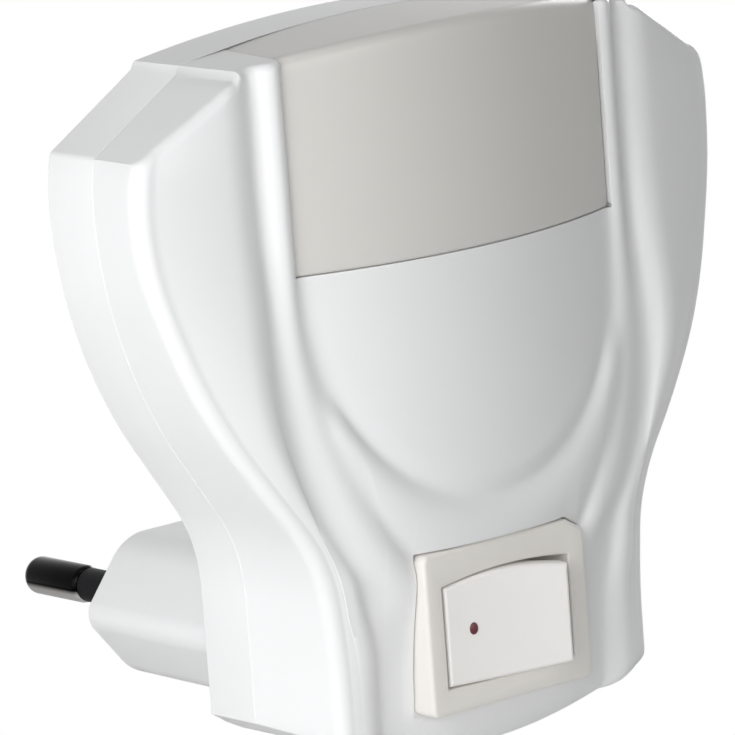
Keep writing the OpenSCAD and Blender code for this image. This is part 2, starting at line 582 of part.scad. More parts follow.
retainer_hole_d = retainer_screw_d + 0.7;
module pin_retainer() {
    color("gainsboro") difference() {
        plate_y(plug_outline(plug_wall + seat_gap), retainer_front_y, retainer_back_y);
        for (s = [-1, 1]) bar_y(tail_d + 2 * seat_gap, 0, retainer_back_y - 1, s * pin_pitch / 2);
        bar_y(retainer_hole_d, 0, retainer_back_y - 1, fn = small_fn);
    }
}
// A pan-head screw from y = head_y, with its shank towards +Y
module screw(shank_d, head_d, head_h, length, head_y, x, z) {
    color("silver") {
        bar_y(shank_d, head_y, head_y + length, x, z, small_fn);
        difference() {
            bar_y(head_d, head_y - head_h, head_y, x, z);
            for (a = [0, 90]) translate([x, head_y - head_h, z]) rotate([0, a, 0])
                cube([head_d * 0.6, head_h, head_d * 0.14], center = true);
        }
    }
}
module retainer_screw() { screw(retainer_screw_d, 4.2, 1.5, retainer_screw_l, retainer_back_y, 0, 0); }

// ---- Rocker switch ----
frame_y = parting_y - frame_d;
flange_back_y = parting_y - seat_d;
body_back_y = flange_back_y + body_l;
floor_t = 1.2;
floor_front_y = body_back_y - floor_t;
pivot_y = frame_y + pivot_depth;
// Outline of the opening or the rocker, arched on its long sides
long_steps = 8;
low_arch = 0.2;
function arched(half_w, half_h, rise) = concat(
    [for (i = [0:long_steps]) let (t = 2 * i / long_steps - 1)
        [half_w * t, rocker_z + half_h + rise * (1 - t * t)]],
    [for (i = [long_steps:-1:0]) let (t = 2 * i / long_steps - 1)
        [half_w * t, rocker_z - half_h - low_arch * rise * (1 - t * t)]]);
open_half_w = rocker_half_w * cos(rocker_tilt) + (pivot_depth + rocker_proud) * sin(rocker_tilt)
    + rocker_side_gap;
blade_x = [0, blade_pitch];
frame_corner = [2.1, 1.25];
snap_l = 4;
snap_h = 0.5;
snap_gap = 0.3;
module switch_frame() {
    fx = frame_w / 2;
    fz = frame_h / 2;
    color("linen") difference() {
        union() {
            // One corner of the flange is cut off
            translate([0, 0, frame_z]) plate_y([[-fx, -fz], [fx, -fz], [fx, fz - frame_corner[1]],
                [fx - frame_corner[0], fz], [-fx, fz]], frame_y, flange_back_y);
            block_y(body_w, body_h, flange_back_y - tiny, body_back_y, z = frame_z);
            // Snap wings that hold the switch behind the cover
            for (s = [-1, 1]) block_y(snap_h, snap_l, flange_back_y + wall + snap_l,
                flange_back_y + wall + snap_gap, s * (body_w + snap_h) / 2, frame_z);
        }
        plate_y(arched(open_half_w, open_half_h, open_arch), frame_y - 1, floor_front_y);
        translate([0, pivot_y, frame_z])
            cylinder(d = stud_d + 2 * running_gap, h = body_h + 2, center = true, $fn = round_fn);
        for (x = blade_x) block_y(blade_t + seat_gap, blade_w + seat_gap, floor_front_y - 1, body_back_y + 1,
            x, rocker_z);
    }
}

rocker_gap = 0.25;
rocker_skirt = 1.2;
hub_d = 4.4;
tube_d = 3.6;
tube_l = 4.2;
plunger_d = 2;
stud_gap = 0.3;
bevel = 0.6;
face_y = frame_y - rocker_proud;
rocker_r = (rocker_half_w ^ 2 + rocker_hollow ^ 2) / (2 * rocker_hollow);
face_steps = 12;
hub_y = pivot_y + hub_d / 2 - 0.4;
// Profile of the rocker in X and Y, level
function rocker_profile() = let (w = rocker_half_w, s = rocker_skirt) concat(
    [for (i = [0:face_steps]) let (x = (w - bevel) * (2 * i / face_steps - 1))
        [x, face_y + rocker_hollow - (rocker_r - sqrt(rocker_r ^ 2 - x * x))]],
    [[w, face_y + bevel], [w, face_y + bevel + s], [hub_d / 2 + 1.5, pivot_y], [hub_d / 2, hub_y],
        [-hub_d / 2, hub_y], [-hub_d / 2 - 1.5, pivot_y], [-w, face_y + bevel + s], [-w, face_y + bevel]]);
module tilted(angle, y) { translate([0, y, 0]) rotate([0, 0, angle]) translate([0, -y, 0]) children(); }
module rocker() {
    h = 2 * (open_half_h + open_arch);
    color("white") tilted(-rocker_tilt, pivot_y) difference() {
        union() {
            intersection() {
                translate([0, 0, rocker_z - h / 2]) linear_extrude(h) polygon(rocker_profile());
                plate_y(arched(rocker_half_w + 0.1, open_half_h - rocker_gap, open_arch),
                    face_y - 2, pivot_y + hub_d);
            }
            translate([0, pivot_y, frame_z])
                cylinder(d = stud_d, h = body_h - 2 * stud_gap, center = true, $fn = round_fn);
            bar_y(tube_d, pivot_y, pivot_y + tube_l, z = rocker_z);
        }
        bar_y(plunger_d + 2 * running_gap, spring_y0, pivot_y + tube_l + 1, z = rocker_z);
    }
}
plunger_l = 4;
// The contact arm rests 0.15 mm over its terminals when tipped, and the plunger as far over the arm
contact_gap = 0.15;
head_h = 0.9;
arm_t = 0.6;
arm_h = 4;
arm_end_y = floor_front_y - head_h - contact_gap;
arm_back_y = arm_end_y - arm_half_l * sin(arm_tilt);
arm_front_y = arm_back_y - arm_t;
plunger_tip_y = arm_front_y - contact_gap;
module plunger() {
    color("tan") tilted(-rocker_tilt, pivot_y) {
        bar_y(plunger_d, spring_y1, plunger_tip_y - plunger_d / 2, z = rocker_z);
        translate([0, plunger_tip_y - plunger_d / 2, rocker_z]) sphere(d = plunger_d, $fn = 32);
    }
}
spring_wire = 0.25;
spring_turns = 6;
spring_steps = 12;
spring_y0 = pivot_y - 1;
spring_y1 = plunger_tip_y - plunger_d / 2 - plunger_l;
module plunger_spring() {
    r = plunger_d / 2 - spring_wire;
    n = spring_turns * spring_steps;
    y0 = spring_y0 + spring_wire / 2 + tiny;
    y1 = spring_y1 - spring_wire / 2 - tiny;
    tilted(-rocker_tilt, pivot_y) wire([for (i = [0:n]) let (a = 360 * i / spring_steps)
        [r * cos(a), mix(y0, y1, i / n), rocker_z + r * sin(a)]], spring_wire, 6, "silver");
}
module contact_arm() {
    color("peru") tilted(arm_tilt, arm_back_y)
        block_y(2 * arm_half_l, arm_h, arm_front_y, arm_back_y, z = rocker_z);
}
// A blade through the switch's floor with a wider head inside
module terminal(x, head_y) {
    color("gold") {
        block_y(blade_t, blade_w, head_y, blade_end_y, x, rocker_z);
        block_y(2 * blade_t, blade_w + 1.6, floor_front_y - shoulder_t, floor_front_y, x, rocker_z);
    }
}
shoulder_t = 0.6;
blade_l = 7.5;
blade_end_y = body_back_y + blade_l;
module common_terminal() { terminal(blade_x[0], arm_back_y + contact_gap); }
module load_terminal() { terminal(blade_x[1], arm_end_y + contact_gap); }
receptacle_w = 2.4;
receptacle_h = 6.2;
receptacle_l = 6.5;
crimp_l = 2.5;
receptacle_y0 = body_back_y + 0.5;
receptacle_y1 = receptacle_y0 + receptacle_l;
module receptacles() {
    color("goldenrod") for (x = blade_x) difference() {
        union() {
            block_y(receptacle_w, receptacle_h, receptacle_y0, receptacle_y1, x, rocker_z);
            bar_y(lead_d + 0.8, receptacle_y1, receptacle_y1 + crimp_l, x, rocker_z, small_fn);
        }
        block_y(blade_t + seat_gap, blade_w + seat_gap, receptacle_y0 - 1, receptacle_y1 + 0.9, x, rocker_z);
    }
}

// ---- Circuit board and its components ----
module circuit_board() {
    color("darkgreen") difference() {
        block_y(board_w, board_h, board_back_y, board_front_y, z = board_low_z + board_h / 2);
        for (s = [-1, 1]) {
            bar_y(board_screw_d + 0.7, board_back_y + 1, board_front_y - 1, s * post_x, post_low_z, small_fn);
            bar_y(peg_d + 2 * seat_gap, board_back_y + 1, board_front_y - 1, s * post_x, post_high_z,
                small_fn);
        }
    }
}
module board_screws() {
    for (s = [-1, 1]) screw(board_screw_d, 4, 1.3, board_screw_l, board_front_y, s * post_x, post_low_z);
}
led_z = board_top_z - 9;
led_flange_t = 1;
led_flange_w = 0.4;
led_body_l = 6;
module leds() {
    color("lightyellow") for (i = [-1.5:1.5]) translate([i * led_pitch, board_front_y, led_z])
        rotate([90, 0, 0]) rotate_extrude($fn = 32) polygon(concat(
            [[0, 0], [led_d / 2 + led_flange_w, 0], [led_d / 2 + led_flange_w, led_flange_t],
                [led_d / 2, led_flange_t]],
            [for (a = [0:15:90]) [led_d / 2 * cos(a), led_body_l + led_d / 2 * sin(a)]]));
}
// Places on the board are [x, distance below the row of diodes]
chip_w = 4.8;
chip_h = 6.4;
chip_t = 2.6;
chip_place = [5.8, 10.2];
foot_w = 1.2;
foot_h = 0.8;
foot_t = 0.4;
module rectifier() {
    z = led_z - chip_place[1];
    color("#222222") {
        block_y(chip_w, chip_h, board_front_y, board_front_y - chip_t, chip_place[0], z);
        for (s = [-1, 1], t = [-1, 1]) block_y(foot_w, foot_h, board_front_y, board_front_y - foot_t,
            chip_place[0] + s * (chip_w + foot_w) / 2, z + t * (chip_h / 2 - 1.2));
    }
}
cap_d = 6.3;
cap_l = 10;
cap_place = [0.6, 17.2];
module smoothing_capacitor() {
    color("midnightblue") translate([cap_place[0], board_front_y - cap_d / 2, led_z - cap_place[1]])
        rotate([0, 90, 0])
        rotate_extrude($fn = round_fn) polygon([[0, 0], [cap_d / 2 - 0.4, 0], [cap_d / 2, 0.4],
            [cap_d / 2, 1.6], [cap_d / 2 - 0.3, 2], [cap_d / 2, 2.4], [cap_d / 2, cap_l - 0.3],
            [cap_d / 2 - 0.3, cap_l], [0, cap_l]]);
}
film_w = 10;
film_h = 7;
film_t = 9;
film_place = [-5.7, 15.5];
module dropper_capacitor() {
    color("goldenrod") block_y(film_w, film_h, board_front_y, board_front_y - film_t, film_place[0],
        led_z - film_place[1]);
}
// Three resistors lie flat on the board, each on two bent wires
resistor_d = 2.3;
resistor_l = 6.3;
resistor_wire = 0.6;
resistor_reach = 1.2;
resistor_places = [[-6, 5], [-6, 9], [6, 5]];
module resistors() {
    for (p = resistor_places) translate([p[0], board_front_y, led_z - p[1]]) {
        color("burlywood") translate([0, -resistor_d / 2, 0]) rotate([0, 90, 0])
            cylinder(d = resistor_d, h = resistor_l, center = true, $fn = small_fn);
        color("silver") for (s = [-1, 1]) {
            translate([s * (resistor_l + resistor_reach) / 2, -resistor_d / 2, 0]) rotate([0, 90, 0])
                cylinder(d = resistor_wire, h = resistor_reach + 0.2, center = true, $fn = small_fn);
            bar_y(resistor_wire, 0, -resistor_d / 2, s * (resistor_l / 2 + resistor_reach), 0, small_fn);
        }
    }
}

// ---- Inner leads: a tube swept along a smooth line through hand-set points ----
lead_sides = 8;
lead_fill = 3;
function spline(p, i, t) = let (a = p[max(i - 1, 0)], b = p[i], c = p[i + 1], d = p[min(i + 2, len(p) - 1)])
    0.5 * (2 * b + (c - a) * t + (2 * a - 5 * b + 4 * c - d) * t ^ 2 + (3 * b - a - 3 * c + d) * t ^ 3);
// The first and last stretches are straight, so that a lead leaves its terminal squarely
function route(p) = let (n = len(p) - 1) concat(
    [for (i = [0:n - 1]) for (s = [0:lead_fill - 1]) let (t = s / lead_fill)
        i == 0 || i == n - 1 ? mix(p[i], p[i + 1], t) : spline(p, i, t)], [p[n]]);
module lead(points, colour) { wire(route(points), lead_d, lead_sides, colour); }
crimp_end_y = receptacle_y1 + crimp_l;
lead_lay_y = board_back_y + lead_d / 2 + 0.05;
pin_x = pin_pitch / 2;
module live_lead() {
    y = crimp_end_y;
    lead([[-pin_x, tail_end_y, 0], [-pin_x, tail_end_y - 1.5, 0], [-8, y + 6.5, 0.5], [-4.8, y + 5.1, 1.2],
        [-1.6, y + 4.1, 1.6], [0, y + 1.2, rocker_z], [0, y, rocker_z]], "saddlebrown");
}
module switched_lead() {
    x = blade_x[1];
    y = crimp_end_y;
    lead([[x, y, rocker_z], [x, y + 1.5, rocker_z], [8.4, y + 4.5, 2.2], [10.8, y + 4.1, 2.6],
        [11.4, y + 1, 2.6], [11.4, rear_y + 0.4, 2.5], [11.6, wall_inner_y - 0.9, 3.2],
        [12.2, lead_lay_y, 7], [12, lead_lay_y, 11], [9, lead_lay_y, 15], [5.5, lead_lay_y, 20],
        [5, lead_lay_y, 25]], "black");
}
module neutral_lead() {
    y = tail_end_y;
    lead([[pin_x, y, 0], [pin_x, y - 1.5, 0], [10.4, y - 4.5, -1], [11, y - 8, -1.8],
        [11.2, rear_y + 1.4, -1.6], [11.6, wall_inner_y - 1, -0.8], [14.2, lead_lay_y, 3],
        [16, lead_lay_y, 8], [14.6, lead_lay_y, 14], [9.5, lead_lay_y, 18.5], [8.5, lead_lay_y, 24.5]],
        "steelblue");
}

back_housing();
front_cover();
lens();
live_pin();
neutral_pin();
live_sleeve();
neutral_sleeve();
pin_retainer();
retainer_screw();
switch_frame();
rocker();
plunger();
plunger_spring();
contact_arm();
common_terminal();
load_terminal();
receptacles();
circuit_board();
board_screws();
leds();
rectifier();
smoothing_capacitor();
dropper_capacitor();
resistors();
live_lead();
switched_lead();
neutral_lead();
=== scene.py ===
# A plug-in night light: a flat white body on a two-pin plug, with a milky lens that wraps over
# the top and a rocker switch below it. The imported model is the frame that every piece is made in.
# Meshes are modelled in millimetres and made metres as each piece is finished.
import math

import bmesh
import bpy
from mathutils import Matrix, Vector


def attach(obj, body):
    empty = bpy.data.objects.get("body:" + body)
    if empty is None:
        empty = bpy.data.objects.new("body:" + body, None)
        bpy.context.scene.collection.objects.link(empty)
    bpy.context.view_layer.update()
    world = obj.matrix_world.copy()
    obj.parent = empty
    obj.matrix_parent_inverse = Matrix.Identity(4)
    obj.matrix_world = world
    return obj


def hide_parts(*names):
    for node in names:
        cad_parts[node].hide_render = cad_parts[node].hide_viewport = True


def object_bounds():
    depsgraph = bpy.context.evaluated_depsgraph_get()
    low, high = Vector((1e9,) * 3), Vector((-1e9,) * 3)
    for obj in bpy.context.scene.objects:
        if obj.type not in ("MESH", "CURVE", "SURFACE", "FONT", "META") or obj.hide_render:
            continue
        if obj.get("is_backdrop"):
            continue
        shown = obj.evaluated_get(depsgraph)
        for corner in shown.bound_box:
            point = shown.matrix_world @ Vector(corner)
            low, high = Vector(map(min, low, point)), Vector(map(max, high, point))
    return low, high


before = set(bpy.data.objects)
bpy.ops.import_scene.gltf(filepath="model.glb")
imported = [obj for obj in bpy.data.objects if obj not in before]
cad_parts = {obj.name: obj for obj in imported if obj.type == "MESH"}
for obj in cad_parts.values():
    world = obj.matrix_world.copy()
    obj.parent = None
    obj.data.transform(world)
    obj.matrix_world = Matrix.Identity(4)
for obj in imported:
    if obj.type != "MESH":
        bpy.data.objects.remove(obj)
cad_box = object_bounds()

MM = 0.001

# ---- Camera ----
# A long lens, turned to the left of the light and a little above it, with a slight roll.
view_turn = math.radians(39.86979)
view_drop = math.radians(11.24539)
view_roll = math.radians(-4.32981)
view_distance = 720.797
view_across = 15.683
view_up = 22.088
picture_px = 735
sensor_w = 36
focal_px = 6880.65

scene = bpy.context.scene
cam_forward = Vector((math.sin(view_turn) * math.cos(view_drop), math.cos(view_turn) * math.cos(view_drop),
                      -math.sin(view_drop)))
cam_level = Vector((math.cos(view_turn), -math.sin(view_turn), 0))
cam_rise = cam_level.cross(cam_forward)
cam_right = cam_level * math.cos(view_roll) + cam_rise * math.sin(view_roll)
cam_top = cam_rise * math.cos(view_roll) - cam_level * math.sin(view_roll)
cam_place = (cam_right * view_across + cam_top * view_up - cam_forward * view_distance) * MM
camera_data = bpy.data.cameras.new("camera")
camera_data.sensor_width = sensor_w
camera_data.lens = focal_px / picture_px * sensor_w
camera_data.clip_start = 0.01
camera = bpy.data.objects.new("camera", camera_data)
camera.matrix_world = Matrix.Translation(cam_place) @ Matrix(
    (cam_right, cam_top, -cam_forward)).transposed().to_4x4()
scene.collection.objects.link(camera)
scene.camera = camera
scene.view_settings.view_transform = "Standard"

# ---- Floor and light ----
# The light hangs on a wall, so the floor lies well below it. It fades into the white room.
floor_z = -0.1
floor_r = 0.3
floor_fade = (0.55, 0.97)
room_light = 0.02
floor_glow = 0.6
light_aim = Vector((0, -0.03, 0.025))


def node_of(material, kind, **sockets):
    """Adds a shader node and sets its inputs by name, or by number as _0, _1"""
    node = material.node_tree.nodes.new(kind)
    for name, value in sockets.items():
        key = int(name[1:]) if name[0] == "_" else name.replace("_", " ")
        node.inputs[key].default_value = value
    return node


def join(owner, start, end, start_socket=0, end_socket=0):
    """Links one node's output to another node's input"""
    owner.node_tree.links.new(start.outputs[start_socket], end.inputs[end_socket])


world = bpy.data.worlds.new("white_room")
scene.world = world
world.use_nodes = True
room = world.node_tree.nodes["Background"]
room.inputs["Color"].default_value = (1, 1, 1, 1)
rays = node_of(world, "ShaderNodeLightPath")
seen = node_of(world, "ShaderNodeMath")
seen.operation = "MAXIMUM"
seen_through = node_of(world, "ShaderNodeMath")
seen_through.operation = "MAXIMUM"
room_strength = node_of(world, "ShaderNodeMapRange", To_Min=room_light, To_Max=1)
join(world, rays, seen, "Is Camera Ray", 0)
join(world, rays, seen, "Is Glossy Ray", 1)
join(world, seen, seen_through, 0, 0)
join(world, rays, seen_through, "Is Transmission Ray", 1)
join(world, seen_through, room_strength, 0, "Value")
join(world, room_strength, room, 0, "Strength")

floor_white = bpy.data.materials.new("floor_white")
floor_white.use_nodes = True
floor_white.node_tree.nodes.clear()
out = node_of(floor_white, "ShaderNodeOutputMaterial")
matte = node_of(floor_white, "ShaderNodeBsdfDiffuse", Color=(0.9, 0.9, 0.9, 1))
glow = node_of(floor_white, "ShaderNodeEmission", Strength=floor_glow)
clear = node_of(floor_white, "ShaderNodeEmission", Strength=1)
lit = node_of(floor_white, "ShaderNodeAddShader")
paths = node_of(floor_white, "ShaderNodeLightPath")
lift = node_of(floor_white, "ShaderNodeMath", _1=floor_glow)
lift.operation = "MULTIPLY"
coords = node_of(floor_white, "ShaderNodeTexCoord")
distance = node_of(floor_white, "ShaderNodeVectorMath")
distance.operation = "LENGTH"
fade = node_of(floor_white, "ShaderNodeMapRange", From_Min=floor_r * floor_fade[0],
               From_Max=floor_r * floor_fade[1])
edge_only = node_of(floor_white, "ShaderNodeMath")
edge_only.operation = "MULTIPLY"
blend = node_of(floor_white, "ShaderNodeMixShader")
join(floor_white, paths, lift, "Is Camera Ray")
join(floor_white, lift, glow, 0, "Strength")
join(floor_white, matte, lit)
join(floor_white, glow, lit, 0, 1)
join(floor_white, coords, distance, "Object")
join(floor_white, distance, fade, "Value", "Value")
join(floor_white, fade, edge_only)
join(floor_white, paths, edge_only, "Is Camera Ray", 1)
join(floor_white, edge_only, blend, 0, 0)
join(floor_white, lit, blend, 0, 1)
join(floor_white, clear, blend, 0, 2)
join(floor_white, blend, out)

floor_mesh = bpy.data.meshes.new("floor")
bm = bmesh.new()
bmesh.ops.create_circle(bm, cap_ends=True, segments=96, radius=floor_r)
bm.to_mesh(floor_mesh)
bm.free()
floor = bpy.data.objects.new("floor", floor_mesh)
floor.location.z = floor_z
floor.data.materials.append(floor_white)
scene.collection.objects.link(floor)
floor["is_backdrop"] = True

# Each softbox: where it stands (turn from straight ahead, and rise), its distance, size and power
softboxes = [
    ("left_rear_box", -110, 5, 0.22, 0.15, 0.1),
    ("left_side_box", -80, 5, 0.22, 0.15, 0.063),
    ("left_box", -55, 5, 0.22, 0.15, 0.141),
    ("front_box", -30, 5, 0.22, 0.15, 0.056),
    ("left_high_box", -75, 30, 0.9, 0.5, 2.3),
    ("ahead_box", 0, 10, 0.9, 0.5, 1.4),
    ("right_rear_box", 110, 15, 0.9, 0.5, 4.2),
    ("top_box", 0, 80, 0.9, 0.5, 0.8),
]
for name, turn, rise, away, size, power in softboxes:
    lamp_data = bpy.data.lights.new(name, "AREA")
    lamp_data.shape = "DISK"
    lamp_data.size = size
    lamp_data.energy = power
    lamp = bpy.data.objects.new(name, lamp_data)
    turn, rise = math.radians(turn), math.radians(rise)
    toward = Vector((math.sin(turn) * math.cos(rise), -math.cos(turn) * math.cos(rise),
                     math.sin(rise)))
    lamp.location = light_aim + toward * away
    lamp.rotation_euler = toward.to_track_quat("Z", "Y").to_euler()
    scene.collection.objects.link(lamp)


# ---- Rear half of the housing, with the plug body ----
# One white ABS moulding: a shallow tray with the outline of the light, and a hollow hexagonal
# plug body standing on its back. The posts inside that carry the circuit board and the pins' plate are not
# built here.
shoulder_half_w = 37.1
shoulder_z = 48.8
neck_half_w = 22.1
neck_z = 6.8
neck_r = 16
flare = math.radians(33.5)
corner_r = 0.9
hood_half_w = 25.2
hood_end_z = 60.6
hood_crown_z = 62.6
hood_step_h = 0.8
hood_step_w = 0.5
shoulder_fall = 0.605
shoulder_turn_z = 47
shoulder_turn_h = 6
shoulder_turn_w = 0.5
outline_end_z = 50
base_z = -11.2
base_arc_r = 66
base_turn_x = 15.5
base_turn = 0.03
rear_y = -24.9
parting_y = -32
seam = 0.07
rear_edge_r = 0.25
housing_t = 1.6
plug_w = 35.3
plug_h = 15
plug_drop = 0.3
plug_flat_half_w = 12.2
plug_corner_r = 2.4
plug_fold_r = 5.5
plug_draft = 0.25
plug_edge_r = 0.6
plug_root_r = 1
pin_half_pitch = 9.3
sleeve_r = 1.8
sleeve_gap = 0.06
base_steps = 12
side_steps = 56
corner_steps = 5
hood_steps = 14
white_gloss = (0.86, 0.865, 0.87)

flare_h = shoulder_z - neck_z
shoulder_r = (math.tan(flare) * flare_h - shoulder_half_w + neck_half_w) / (
    math.tan(flare) * math.sin(flare) - 1 + math.cos(flare)) - neck_r
flare_top_z = shoulder_z - shoulder_r * math.sin(flare)
flare_low_z = neck_z + neck_r * math.sin(flare)
flare_low_x = neck_half_w + neck_r * (1 - math.cos(flare))


def clamp(t):
    """Holds a share between 0 and 1"""
    return min(max(t, 0), 1)


def ease(t):
    """A share that starts and ends gently"""
    t = clamp(t)
    return t * t * (3 - 2 * t)


def mix(a, b, t):
    """The value that lies the share t of the way from a to b"""
    return a + (b - a) * t


def side_x(z):
    """Half of the light's width at a height"""
    turn = shoulder_turn_w * (max(0, z - shoulder_turn_z) / shoulder_turn_h) ** 2
    if z > shoulder_z:
        return shoulder_half_w - turn
    if z > flare_top_z:
        return shoulder_half_w - turn - shoulder_r + math.sqrt(shoulder_r ** 2 - (shoulder_z - z) ** 2)
    if z > flare_low_z:
        return flare_low_x + (z - flare_low_z) * math.tan(flare)
    if z > neck_z:
        return neck_half_w + neck_r - math.sqrt(neck_r ** 2 - (z - neck_z) ** 2)
    return neck_half_w


def top_z(a):
    """Height of the top edge at a half width: the bowed hood, a small step, and the shoulder"""
    if a <= hood_half_w:
        return hood_crown_z - (hood_crown_z - hood_end_z) * (a / hood_half_w) ** 2
    step = hood_step_h * min((a - hood_half_w) / hood_step_w, 1)
    return hood_end_z - step - max(a - hood_half_w - hood_step_w, 0) * shoulder_fall


def bottom_z(a):
    """Height of the bottom edge: an arc that turns up towards the corners"""
    return base_z + a * a / (2 * base_arc_r) + base_turn * max(0, a - base_turn_x) ** 2


def body_outline(w):
    """The light's outline, moved in by w"""
    low_z = bottom_z(neck_half_w - w) + w
    end_z = outline_end_z
    for _ in range(6):
        end_z = top_z(side_x(end_z) - w) - w
    half = []
    for i in range(1, base_steps):
        x = (neck_half_w - w) * i / base_steps
        half.append((x, bottom_z(x) + w))
    for i in range(side_steps):
        z = mix(low_z, end_z, i / side_steps)
        half.append((side_x(z) - w, z))
    # A round corner between the side and the shoulder
    r = corner_r - w
    angle = math.pi / 2 - math.atan(shoulder_fall)
    reach = r * math.tan(angle / 2)
    end_x = side_x(end_z) - w
    for i in range(corner_steps + 1):
        t = angle * i / corner_steps
        half.append((end_x - r * (1 - math.cos(t)), end_z - reach + r * math.sin(t)))
    half.append((hood_half_w + hood_step_w - w, top_z(hood_half_w + hood_step_w) - w))
    for i in range(hood_steps, 0, -1):
        x = (hood_half_w - w) * i / hood_steps
        half.append((x, top_z(x) - w))
    return [(0, bottom_z(0) + w)] + half + [(0, top_z(0) - w)] + [(-x, z) for x, z in reversed(half)]


def plug_outline(w):
    """The hexagon of the plug body with rounded corners, moved in by w"""
    centre = plug_w / 2 - plug_corner_r
    reach = math.hypot(centre - plug_flat_half_w, plug_h / 2)
    slope = math.atan2(plug_h / 2, centre - plug_flat_half_w) - math.asin(plug_corner_r / reach)
    fold_x = plug_flat_half_w - plug_fold_r * math.tan(slope / 2)
    fold_z = plug_h / 2 - plug_fold_r
    tip_r = plug_corner_r - w
    fold_r = plug_fold_r - w
    tip = [(i / 8) * (math.pi / 2 - slope) for i in range(-8, 9)]
    fold = [math.pi / 2 - slope * i / 6 for i in range(7)]
    upper = [(fold_x + fold_r * math.cos(t), fold_z + fold_r * math.sin(t)) for t in fold]
    right = ([(x, -z) for x, z in upper] + [(centre + tip_r * math.cos(t), tip_r * math.sin(t)) for t in tip]
             + upper[::-1])
    return [(x, z - plug_drop) for x, z in right + [(-x, z) for x, z in reversed(right)]]


def ring(bm, points, y):
    """A closed loop of edges through points in X and Z"""
    verts = [bm.verts.new((x, y, z)) for x, z in points]
    return [bm.edges.new((a, b)) for a, b in zip(verts, verts[1:] + verts[:1])]


def circle_points(r, x, z, n=40):
    """Points of a circle in X and Z"""
    return [(x + r * math.cos(math.tau * i / n), z + r * math.sin(math.tau * i / n)) for i in range(n)]


def rim_out(bm, edges, moved):
    """Extrudes an open rim of edges. moved() says where a vertex goes, from the one it is drawn from"""
    new = bmesh.ops.extrude_edge_only(bm, edges=edges)["geom"]
    verts = {g for g in new if isinstance(g, bmesh.types.BMVert)}
    for v in verts:
        source = next(e.other_vert(v) for e in v.link_edges if e.other_vert(v) not in verts)
        v.co = moved(v, source)
    return [g for g in new if isinstance(g, bmesh.types.BMEdge) and set(g.verts) <= verts]


def loft(bm, outline, steps):
    """Draws an outline along steps, each moved in by w at its own y. Returns the first and last loops"""
    first = ring(bm, outline(steps[0][0]), steps[0][1])
    order = {edge.verts[0]: i for i, edge in enumerate(first)}
    last = first
    for w, y in steps[1:]:
        points = outline(w)

        def moved(v, source):
            order[v] = order[source]
            x, z = points[order[v]]
            return x, y, z

        last = rim_out(bm, last, moved)
    return first, last


def rounded(r, w, y, toward, n=5):
    """Steps around a quarter round of radius r that ends moved in by w + r at height y"""
    return [(w + r * (1 - math.cos(t)), y + toward * r * (1 - math.sin(t)))
            for t in [math.pi / 2 * i / n for i in range(n + 1)]]


def fill(bm, *loops):
    """Flat faces between loops that lie in one plane"""
    bmesh.ops.triangle_fill(bm, use_beauty=True, edges=[e for loop in loops for e in loop])


def shell_wall(bm, thickness, steer=lambda v, inward: inward):
    """Turns an open skin that faces outwards into a closed wall. steer() may turn a vertex's way in"""
    bm.normal_update()
    inward = {tuple(v.co): steer(v, v.normal * -thickness) for v in bm.verts}
    new = bmesh.ops.extrude_face_region(bm, geom=bm.faces[:], use_keep_orig=True)["geom"]
    for v in new:
        if isinstance(v, bmesh.types.BMVert):
            v.co += inward[tuple(v.co)]
    bmesh.ops.recalc_face_normals(bm, faces=bm.faces)


def facing(bm, axis, sign):
    """Makes the faces of an open skin point outwards, judged by its face that lies furthest along axis"""
    bmesh.ops.recalc_face_normals(bm, faces=bm.faces)
    far = max(bm.faces, key=lambda f: sign * f.calc_center_median()[axis])
    if far.normal[axis] * sign < 0:
        bmesh.ops.reverse_faces(bm, faces=bm.faces)


def piece(bm, name, material, body, *nodes, slot=None, crease=38):
    """Makes the mesh an object in metres, shades it, and puts it in the place of its CAD nodes"""
    bmesh.ops.scale(bm, vec=(MM, MM, MM), verts=bm.verts)
    mesh = bpy.data.meshes.new(name)
    bm.to_mesh(mesh)
    bm.free()
    mesh.shade_smooth()
    mesh.set_sharp_from_angle(angle=math.radians(crease))
    mesh.materials.append(material)
    made = bpy.data.objects.new(name, mesh)
    scene.collection.objects.link(made)
    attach(made, body)
    if nodes:
        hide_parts(*nodes)


def plastic(name, colour, roughness, grain=0.004, cloud=0.02, coat=0.0):
    """Moulded plastic: faint clouds in its colour, uneven gloss and a fine moulded skin"""
    made = bpy.data.materials.new(name)
    made.use_nodes = True
    skin = made.node_tree.nodes["Principled BSDF"]
    skin.inputs["IOR"].default_value = 1.5
    skin.inputs["Coat Weight"].default_value = coat
    skin.inputs["Coat Roughness"].default_value = 0.08
    place = node_of(made, "ShaderNodeTexCoord")
    clouds = node_of(made, "ShaderNodeTexNoise", Scale=60, Detail=3, Roughness=0.5)
    shade = node_of(made, "ShaderNodeMix")
    shade.data_type = "RGBA"
    shade.inputs[6].default_value = (*[c * (1 - cloud) for c in colour], 1)
    shade.inputs[7].default_value = (*[min(c * (1 + cloud), 1) for c in colour], 1)
    fine = node_of(made, "ShaderNodeTexNoise", Scale=900, Detail=2, Roughness=0.6)
    gloss = node_of(made, "ShaderNodeMapRange", To_Min=roughness * 0.9, To_Max=roughness * 1.1)
    relief = node_of(made, "ShaderNodeBump", Strength=grain, Distance=0.001)
    join(made, place, clouds, "Object", "Vector")
    join(made, place, fine, "Object", "Vector")
    join(made, clouds, shade, 0, 0)
    join(made, shade, skin, 2, "Base Color")
    join(made, clouds, gloss, 0, "Value")
    join(made, gloss, skin, 0, "Roughness")
    join(made, fine, relief, 0, "Height")
    join(made, relief, skin, 0, "Normal")
    return made


white_plastic = plastic("white_plastic", white_gloss, 0.32)

